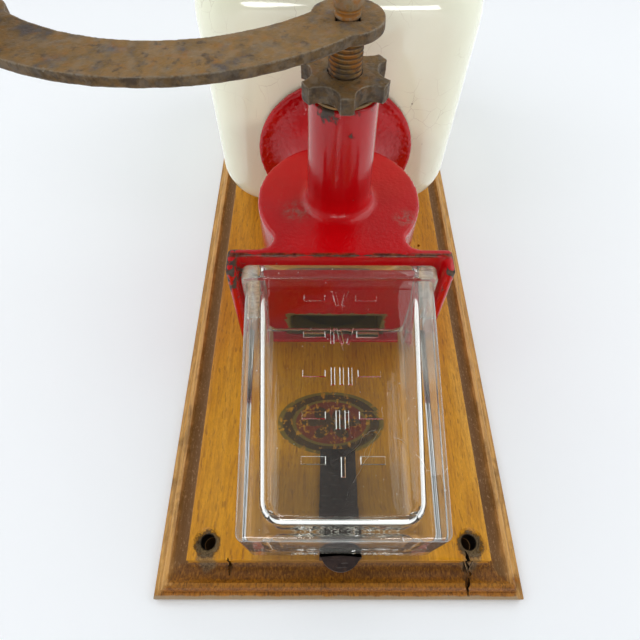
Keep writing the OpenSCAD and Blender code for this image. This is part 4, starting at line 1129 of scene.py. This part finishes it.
# %% Lid
LID_T, LID_FIELD_T, LID_FIELD_INSET, LID_RIM_H, LID_RIM_T, LID_GAP = 4.5, 2.5, 9.0, 6.0, 4.0, 0.8
GRIP_R = 11
lid_seat = jar_high.z
lid = box((lid_low.x, lid_low.y, lid_seat), (lid_high.x, lid_high.y, lid_seat + LID_T))
edit(lid)
choose("edges", lambda e: runs_along(e, 2))
bevel(JAR_CORNER - LID_GAP, 14)
choose("faces", lambda face: face.normal.z > 0.9)
inset(1.2)
inset(LID_FIELD_INSET - 2.6)
inset(1.4, LID_FIELD_T * 0.8)
inset(2.0, LID_FIELD_T * 0.2)
choose("faces", lambda face: face.normal.z < -0.9)
inset(JAR_WALL)
inset(0.2, LID_RIM_H)
inset(LID_RIM_T)
inset(0.2, -LID_RIM_H)
choose("edges", lambda e: e.calc_face_angle(0) > 0.9 and abs(middle(e).z - lid_seat) < LID_T + 0.1)
bevel(0.6, 3)
close()
lid_middle_out = (lid_low.y + lid_high.y) / 2
grip_foot = lid_seat + LID_T + LID_FIELD_T - 0.6
grip_top = lid_high.z - grip_foot
stem = [(0, 0), (9.0, 0), (7.8, 1.2), (7.0, 2.8), (7.0, 4.6), (8.0, 6.0)]
ball = arc((0, grip_top - GRIP_R), GRIP_R, -42, 90, 16)
grip = turned(stem + ball, (0, lid_middle_out, grip_foot), along="up")
combine(lid, grip, "UNION")
hand_over(lid, "jar_lid", "lid", cream_glaze, "cream_glaze", "reservoir_lid", smooth=35)

# %% [markdown]
# ## Felt, and the screws of the jar
# A ring of felt sits between flange and jar, and two felt washers lie under the jar's screws. Felt has no
# crisp edge, so the ring is turned with soft ones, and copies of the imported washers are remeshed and
# smoothed. The screw heads are low domes with a slot that a thin box cuts.

# %% Gasket and washers
GASKET_R = 34.6
gasket_low, gasket_high = extent("throat_gasket")
gasket_t = gasket_high.z - gasket_low.z
soft_ring = [(FUNNEL_R + 0.5, 0), (GASKET_R - 0.5, 0), (GASKET_R, gasket_t * 0.3),
             (GASKET_R, gasket_t * 0.7), (GASKET_R - 0.5, gasket_t), (FUNNEL_R + 0.5, gasket_t),
             (FUNNEL_R, gasket_t / 2), (FUNNEL_R + 0.5, 0)]
gasket = turned(soft_ring, (0, THROAT_OUT, gasket_low.z), along="up", steps=96)
hand_over(gasket, "felt_gasket", "board", felt, "felt", "throat_gasket", smooth=80)
rings = cast(copy_of("reservoir_washers"), voxel=0.25, passes=3, grain=0.15, lump=1.2)
hand_over(rings, "felt_washers", "board", felt, "felt", "reservoir_washers", smooth=80)

# %% Screws
HEAD_SINK, HEAD_H = 3.0, 2.4
HEAD_TOP = HEAD_SINK - HEAD_H


def cut_slot(screw, slot, right, up, turn):
    """Turn a box that lies across the axis by some degrees, bring it to a screw and cut with it."""
    edit(slot)
    bpy.ops.transform.rotate(value=math.radians(turn), orient_axis="Y", center_override=(0, 0, 0))
    bpy.ops.transform.translate(value=place(right, 0, up))
    close()
    return combine(screw, slot, "DIFFERENCE")


def slotted_screw(right, up, head_foot_out, head_r, head_h, shank_r, tip_out, turn):
    """A round headed screw that points to the wall, with a slot turned by some degrees."""
    ball_r = (head_r ** 2 + head_h ** 2) / (2 * head_h)
    rise = math.degrees(math.acos(head_r / ball_r))
    dome = arc((0, head_foot_out + head_h - ball_r), ball_r, rise, 90, 8)
    point = [(0, tip_out), (shank_r * 0.4, tip_out), (shank_r, tip_out + 2), (shank_r, head_foot_out)]
    screw = turned(point + dome, (right, 0, up), steps=32)
    half = Vector((head_r + 1, 3, 0.55))
    slot_at = Vector((0, head_foot_out + head_h * 0.45 + 3, 0))
    return cut_slot(screw, box(slot_at - half, slot_at + half), right, up, turn)


def sunk_screw(right, up, turn):
    """A cheese head screw that points away from the wall, sunk into the board's back."""
    tip = board_high.y + 12
    screw = turned([(0, HEAD_TOP), (3.7, HEAD_TOP), (4.0, HEAD_TOP + 0.3), (4.0, HEAD_SINK),
                    (2.0, HEAD_SINK), (2.0, tip - 1.5), (1.2, tip), (0, tip)], (right, 0, up), steps=32)
    return cut_slot(screw, box((-5, -1, -0.6), (5, HEAD_TOP + 1.1, 0.6)), right, up, turn)


jar_head_foot = jar_low.y + JAR_WALL + 1.5
screws = [slotted_screw(side, jar_screw_up, jar_head_foot, head_r=4.0, head_h=2.2, shank_r=1.75,
                        tip_out=3.0, turn=side * 1.7) for side in JAR_SCREWS]
hand_over(join(screws), "jar_screws", "board", bare_steel, "bare_steel", "reservoir_screws", smooth=40)
backs = [sunk_screw(right, up, 20 + 47 * i) for i, (right, up) in enumerate(CASTING_SCREWS)]
hand_over(join(backs), "casting_screws", "board", bare_steel, "bare_steel", "housing_screws", smooth=40)

# %% [markdown]
# ## The glass cup
# Thick pressed glass bends light at every face, so the cup needs a true wall: a tapered block, a stouter
# rim, and a hollow with round corners taken out of it. The scale on the front is raised from the mould:
# each stroke is a small block with its face drawn in. The bottom edge has chipped where it was set down.

# %% Cup body
HOLLOW_OVER, CUP_SEGMENTS = 2.0, 8
cup_back = cup_low.y + 0.3
cup_tall = cup_high.z - cup_low.z
lean = (CUP_TOP_D - CUP_BOTTOM_D) / cup_tall


def tapered_box(low_size, high_size, back, low_up, high_up):
    """A box that widens upwards and is flat at its back. Sizes are widths and depths. Left open."""
    (low_w, low_d), (high_w, high_d) = low_size, high_size
    edit(box((-high_w / 2, back, low_up), (high_w / 2, back + high_d, high_up)))
    choose("verts", lambda v: v.co.z < (low_up + high_up) / 2 * MM)
    bpy.ops.transform.resize(value=(low_w / high_w, low_d / high_d, 1),
                             center_override=place(0, back, low_up))


def cup_block(low_size, high_size, back, low_up, high_up, corner, foot):
    """The outside: round upright edges, then a round bottom edge."""
    tapered_box(low_size, high_size, back, low_up, high_up)
    choose("edges", lambda e: runs_along(e, 2))
    bevel(corner, CUP_SEGMENTS, clamp_overlap=False)
    choose("edges", lambda e: abs(middle(e).z - low_up) < 0.01)
    bevel(foot, CUP_SEGMENTS, clamp_overlap=False)
    return close()


def cup_hollow(low_size, high_size, back, low_up, high_up, corner, foot):
    """The inside: wide rounds between sides and floor, then a smaller round along front and back."""
    tapered_box(low_size, high_size, back, low_up, high_up)
    choose("edges", lambda e: runs_along(e, 1) and middle(e).z < low_up + 1)
    bevel(foot, CUP_SEGMENTS)
    choose("edges", lambda e: e.calc_face_angle(0) > 0.8 and middle(e).z < high_up - 1)
    bevel(corner, CUP_SEGMENTS)
    return close()


def cup_rim():
    """The stouter band round the cup's mouth."""
    edit(box((cup_low.x, cup_back + 0.05, cup_high.z - CUP_RIM_H), (cup_high.x, cup_high.y, cup_high.z)))
    choose("edges", lambda e: runs_along(e, 2))
    bevel(3.4, 8)
    choose("edges", lambda e: not runs_along(e, 2))
    bevel(1.0, 3)
    return close()


glass = cup_block((CUP_BOTTOM_W, CUP_BOTTOM_D), (CUP_TOP_W, CUP_TOP_D), cup_back,
                  cup_low.z, cup_high.z - 1.2, corner=3.0, foot=2.4)
combine(glass, cup_rim(), "UNION")
floor_size = (CUP_BOTTOM_W - 2 * CUP_WALL - 2 * CUP_DRAFT, CUP_BOTTOM_D + lean * CUP_FLOOR - 2 * CUP_WALL)
mouth_size = (CUP_TOP_W - 2 * CUP_WALL, CUP_TOP_D - 2 * CUP_WALL + lean * HOLLOW_OVER)
hollow = cup_hollow(floor_size, mouth_size, cup_back + CUP_WALL,
                    cup_low.z + CUP_FLOOR, cup_high.z + HOLLOW_OVER, corner=4.0, foot=7.0)
combine(glass, hollow, "DIFFERENCE")
print("cup wall", CUP_WALL, "mm, faces", len(glass.data.polygons))

# %% Raised scale on the cup
ROW_UP, DASH_STEP, NUMERAL_STEP = -95.2, -14.5, -15.0
STROKE_W, STROKE_H, STROKE_RISE = 2.0, 7.0, 0.7
DASH_AT, DASH_W, DASH_H = 9.6, 8.6, 3.2
V_HALF, V_TILT, V_H = 1.75, 19, STROKE_H * 1.06
LETTER_W = {"I": 3.0, "V": 6.2}
ROWS = ["V", "IV", "III", "II", "I"]
face_lean = math.atan(lean)


def raised_bar(right, up, width, height, tilt=0.0):
    """One raised stroke on the leaning front of the cup, tilted by some degrees."""
    begin()
    out = cup_back + CUP_BOTTOM_D + lean * (up - cup_low.z)
    turn = Matrix.Rotation(face_lean, 3, "X") @ Matrix.Rotation(math.radians(tilt), 3, "Y")
    bpy.ops.mesh.primitive_cube_add(size=1, location=place(right, out, up), rotation=turn.to_euler(),
                                    scale=(width * MM, 2 * STROKE_RISE * MM, height * MM))
    bar = bpy.context.object
    edit()
    choose("faces", lambda face: face.normal.y < -0.9)
    drawn = 1.5 * STROKE_RISE
    bpy.ops.transform.resize(value=(1 - drawn / width, 1, 1 - drawn / height))
    close()
    bpy.ops.object.transform_apply(location=True, rotation=True, scale=True)
    return bar


def numeral(letters, row):
    """Strokes of one row: the numeral in the middle and a dash on either side."""
    along = -sum(LETTER_W[c] for c in letters) / 2
    bars = [raised_bar(side * DASH_AT, ROW_UP + row * DASH_STEP, DASH_W, DASH_H) for side in (-1, 1)]
    up = ROW_UP + row * NUMERAL_STEP
    for letter in letters:
        at = along + LETTER_W[letter] / 2
        if letter == "I":
            bars.append(raised_bar(at, up, STROKE_W, STROKE_H))
        else:
            bars += [raised_bar(at + side * V_HALF, up, STROKE_W, V_H, side * V_TILT) for side in (-1, 1)]
        along += LETTER_W[letter]
    return bars


strokes = [bar for i, row in enumerate(ROWS) for bar in numeral(row, i)]
for bar in strokes:
    combine(glass, bar, "UNION")
print("raised strokes:", len(strokes))

# %% Chips in the cup's bottom edge
CHIPS = [(BROKEN_AT - 17 + 4.9 * i + math.sin(7 * i + out), out + 1.6 * math.sin(5 * i + out),
          3.9 + 0.9 * math.sin(3 * i + out)) for out in (16.0, 21.5) for i in range(8)]
CHIPS.append((17.5, 53.5, 2.4))


def chip_ball(right, out, radius, turn):
    """A lumpy ball that bites a shell shaped chip out of the bottom edge."""
    begin()
    bpy.ops.mesh.primitive_ico_sphere_add(subdivisions=1, radius=radius * MM)
    ball = bpy.context.object
    for vertex in ball.data.vertices:
        across, upward = 900 * vertex.co.x + turn, 1100 * vertex.co.z + 2 * turn
        vertex.co = vertex.co * (1 + 0.12 * math.sin(across) + 0.10 * math.sin(upward))
    edit(ball)
    bpy.ops.transform.translate(value=place(right, out, cup_low.z - radius * 0.55))
    return close()


for i, (right, out, radius) in enumerate(CHIPS):
    combine(glass, chip_ball(right, out, radius, i * 1.7), "DIFFERENCE")
hand_over(glass, "glass_cup", "cup", clear_glass, "clear_glass", "measuring_cup", smooth=28)

# %% [markdown]
# ## The spring strap
# One strip of spring steel holds the cup up: a pad under its screw, a long blade that stands off the board,
# a ledge under the cup and a round thumb tab. A flat strip is extruded along that bent line, made thick,
# and its edges are broken.

# %% Strap and its screw
STRAP_W, STRAP_T, STRAP_HOLE_R, TAB_R = 15.0, 1.2, 2.1, 7.5
strap_low, strap_high = extent("cup_catch")
catch_low, catch_high = extent("catch_screw")
catch_up = (catch_low.z + catch_high.z) / 2
ledge_up = cup_low.z - 0.3
blade_out = strap_low.y + 1.6


def strap_blank():
    """The bent strip as one sheet: its back side from the pad down to the end of the ledge."""
    line = [(strap_low.y, catch_up + 5), (strap_low.y, catch_up - 5), (blade_out, ledge_up - STRAP_T + 1.2),
            (blade_out + 0.35, ledge_up - STRAP_T + 0.35), (blade_out + 1.2, ledge_up - STRAP_T),
            (strap_high.y, ledge_up - STRAP_T)]
    drawn_line([place(-STRAP_W / 2, out, up) for out, up in line])
    bpy.ops.mesh.extrude_edges_move(TRANSFORM_OT_translate={"value": place(STRAP_W, 0, 0)})
    outwards()
    return close()


strap = strap_blank()
first = strap.data.polygons[0].normal
modify(strap, "SOLIDIFY", thickness=STRAP_T * MM, offset=1.0 if first.y < 0 else -1.0, use_even_offset=True)
tab_up = strap_low.z + TAB_R
tab = rod(TAB_R, (0, strap_high.y - STRAP_T, tab_up), (0, strap_high.y, tab_up), sides=64)
edit(tab)
bpy.ops.mesh.bisect(plane_co=place(0, 0, ledge_up), plane_no=(0, 0, 1), clear_outer=True, use_fill=True)
close()
combine(strap, tab, "UNION")
combine(strap, rod(STRAP_HOLE_R, (0, 10, catch_up), (0, 16, catch_up), sides=32), "DIFFERENCE")
modify(strap, "BEVEL", width=0.22 * MM, segments=2, limit_method="ANGLE", angle_limit=math.radians(40))
hand_over(strap, "spring_strap", "catch", black_steel, "black_steel", "cup_catch", smooth=40)
strap_screw = slotted_screw(0, catch_up, strap_low.y + STRAP_T + 0.3, head_r=3.6, head_h=1.3,
                            shank_r=1.8, tip_out=3.0, turn=35)
hand_over(strap_screw, "strap_screw", "board", black_steel, "black_steel", "catch_screw", smooth=40)

# %% [markdown]
# ## Inside the grinder
# The burrs, their nut and dowels keep their packed form and only get their steel. The spring between
# cone and casting is wound anew from a round wire: a small circle, taken round and along the spindle by
# the Screw modifier.

# %% Spring and inner steel
WIRE_R, COIL_R, CURLS = 0.8, 8.2, 5
coil_low, coil_high = extent("burr_spring")
begin()
bpy.ops.mesh.primitive_circle_add(vertices=12, radius=WIRE_R * MM, fill_type="NGON",
                                  location=place(COIL_R, coil_low.y + WIRE_R, 0))
bpy.ops.object.transform_apply(location=True)
coil = bpy.context.object
modify(coil, "SCREW", axis="Y", steps=36, render_steps=36, angle=math.tau, iterations=CURLS,
       screw_offset=-(coil_high.y - coil_low.y - 2 * WIRE_R) / CURLS * MM, use_normal_calculate=True)
edit(coil)
bpy.ops.transform.translate(value=place(0, 0, spindle_up))
seal()
hand_over(coil, "coil_spring", "crank", spring_steel, "spring_steel", "burr_spring", smooth=60)

for node, finish in (("ring_burr", burr_steel), ("cone_burr", burr_steel), ("burr_nut", bare_steel),
                     ("burr_dowels", bare_steel)):
    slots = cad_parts[node].data.materials
    slots.clear()
    slots.append(finish)
print("inner steel dressed")

# %% [markdown]
# ## Stage and light
# The mill lies on a white table, so the floor stands just behind the board. It has an opening under the
# board and lets rays through from behind, which keeps the board's back in view from the other side. A dark
# plane behind the opening is what the screw holes show. The light is a white room with two wide soft boxes
# in front of the mill, left and right, which draw the soft bands on the paint and on the glaze, and two
# small windows beyond the cup for the faces that look that way.

# %% Table
TABLE_GAP, TABLE_SIZE, OPENING_INSET = 0.5, 4.0, 3.0


def table_finish():
    f = Finish("white_table", Roughness=0.6, Base_Color=tint(233, 237, 241), Emission_Color=(1, 1, 1, 1))
    ways = f.add("ShaderNodeLightPath").outputs
    direct = f.times(f.most(ways["Is Camera Ray"], ways["Is Transmission Ray"]), 0.12)
    f.set("Emission Strength", f.most(direct, f.times(ways["Is Glossy Ray"], 0.35)))
    f.pass_rays(f.add("ShaderNodeNewGeometry").outputs["Backfacing"])
    return f.material


def shade_finish():
    """What a screw hole shows: the table in the dark, for eyes in front and for nothing else."""
    f = Finish("table_in_the_dark", Roughness=1.0, Base_Color=tint(40, 34, 28))
    ways = f.add("ShaderNodeLightPath").outputs
    seen = f.most(ways["Is Camera Ray"], ways["Is Glossy Ray"])
    behind = f.add("ShaderNodeNewGeometry").outputs["Backfacing"]
    f.pass_rays(f.minus(1.0, f.math("SUBTRACT", seen, behind, clamp=True)))
    return f.material


def floor_plane(name, size, gap):
    """A plane behind the board that faces out from the wall, left open. The gap is in millimetres."""
    begin()
    bpy.ops.mesh.primitive_plane_add(size=size, location=place(0, -gap, 0), rotation=(math.pi / 2, 0, 0))
    bpy.ops.object.transform_apply(location=True, rotation=True)
    plane = bpy.context.object
    plane.name = name
    edit()
    return plane


table = floor_plane("table", TABLE_SIZE, TABLE_GAP)
bpy.ops.mesh.inset(thickness=TABLE_SIZE / 4, depth=0)
opening = Vector((board_high.x - OPENING_INSET, 0, board_high.z - OPENING_INSET)) * MM
bpy.ops.transform.resize(value=(opening.x / (TABLE_SIZE / 4), 1, opening.z / (TABLE_SIZE / 4)))
bpy.ops.mesh.delete(type="FACE")
close()
table.data.materials.append(table_finish())

shade = floor_plane("shade_under_board", 2, 2 * TABLE_GAP)
bpy.ops.transform.resize(value=(opening.x, 1, opening.z))
close()
shade.data.materials.append(shade_finish())
print("table normal", tuple(round(c, 2) for c in table.data.polygons[0].normal))

# %% Room light
CEILING_LIGHT, WALL_LIGHT, FRONT_SHARE, SHOWN_LIGHT = 0.17, 0.95, 0.38, 0.95
world = bpy.data.worlds.new("white_room")
bpy.context.scene.world = world
world.use_nodes = True
room = world.node_tree
ground = room.nodes["Background"]
ground.inputs["Color"].default_value = (0.97, 0.985, 1.0, 1)
way = room.nodes.new("ShaderNodeTexCoord")
apart = room.nodes.new("ShaderNodeSeparateXYZ")
room.links.new(way.outputs["Generated"], apart.inputs[0])


def room_band(axis, low, high, start, end):
    """Light that runs from start to end as the way of a ray turns along an axis."""
    made = room.nodes.new("ShaderNodeMapRange")
    made.interpolation_type = "SMOOTHSTEP"
    room.links.new(apart.outputs[axis], made.inputs["Value"])
    for socket, value in zip(("From Min", "From Max", "To Min", "To Max"), (low, high, start, end)):
        made.inputs[socket].default_value = value
    return made.outputs[0]


light = room.nodes.new("ShaderNodeMath")
light.operation = "MULTIPLY"
room.links.new(room_band("Y", -0.55, -0.85, WALL_LIGHT, CEILING_LIGHT), light.inputs[0])
room.links.new(room_band("Z", -0.75, -0.25, FRONT_SHARE, 1.0), light.inputs[1])
path = room.nodes.new("ShaderNodeLightPath")
shown = room.nodes.new("ShaderNodeMix")
room.links.new(path.outputs["Is Camera Ray"], shown.inputs[0])
room.links.new(light.outputs[0], shown.inputs[2])
shown.inputs[3].default_value = SHOWN_LIGHT
room.links.new(shown.outputs[0], ground.inputs["Strength"])
print("room light has", len(room.nodes), "nodes")

# %% Soft boxes and windows
AIM = place(0, 60, -40)
BOX_SIZE, WINDOW_SIZE, WINDOW_POWER = (0.65, 0.75), (0.15, 0.25), 1.15


def soft_box(name, at, size, power):
    """A rectangular area lamp that faces the mill. Size in metres, power in watts."""
    begin()
    way = (AIM - at).to_track_quat("-Z", "Y").to_euler()
    bpy.ops.object.light_add(type="AREA", location=at, rotation=way)
    lamp = bpy.context.object
    lamp.name = name
    lamp.data.shape = "RECTANGLE"
    lamp.data.size, lamp.data.size_y = size
    lamp.data.energy = power


soft_box("left_box", place(-520, 700, 60), BOX_SIZE, 2.9)
soft_box("right_box", place(520, 700, 120), BOX_SIZE, 2.8)
soft_box("left_window", place(-165, 260, -950), WINDOW_SIZE, WINDOW_POWER)
soft_box("right_window", place(230, 150, -950), WINDOW_SIZE, WINDOW_POWER)
print("lamps placed")
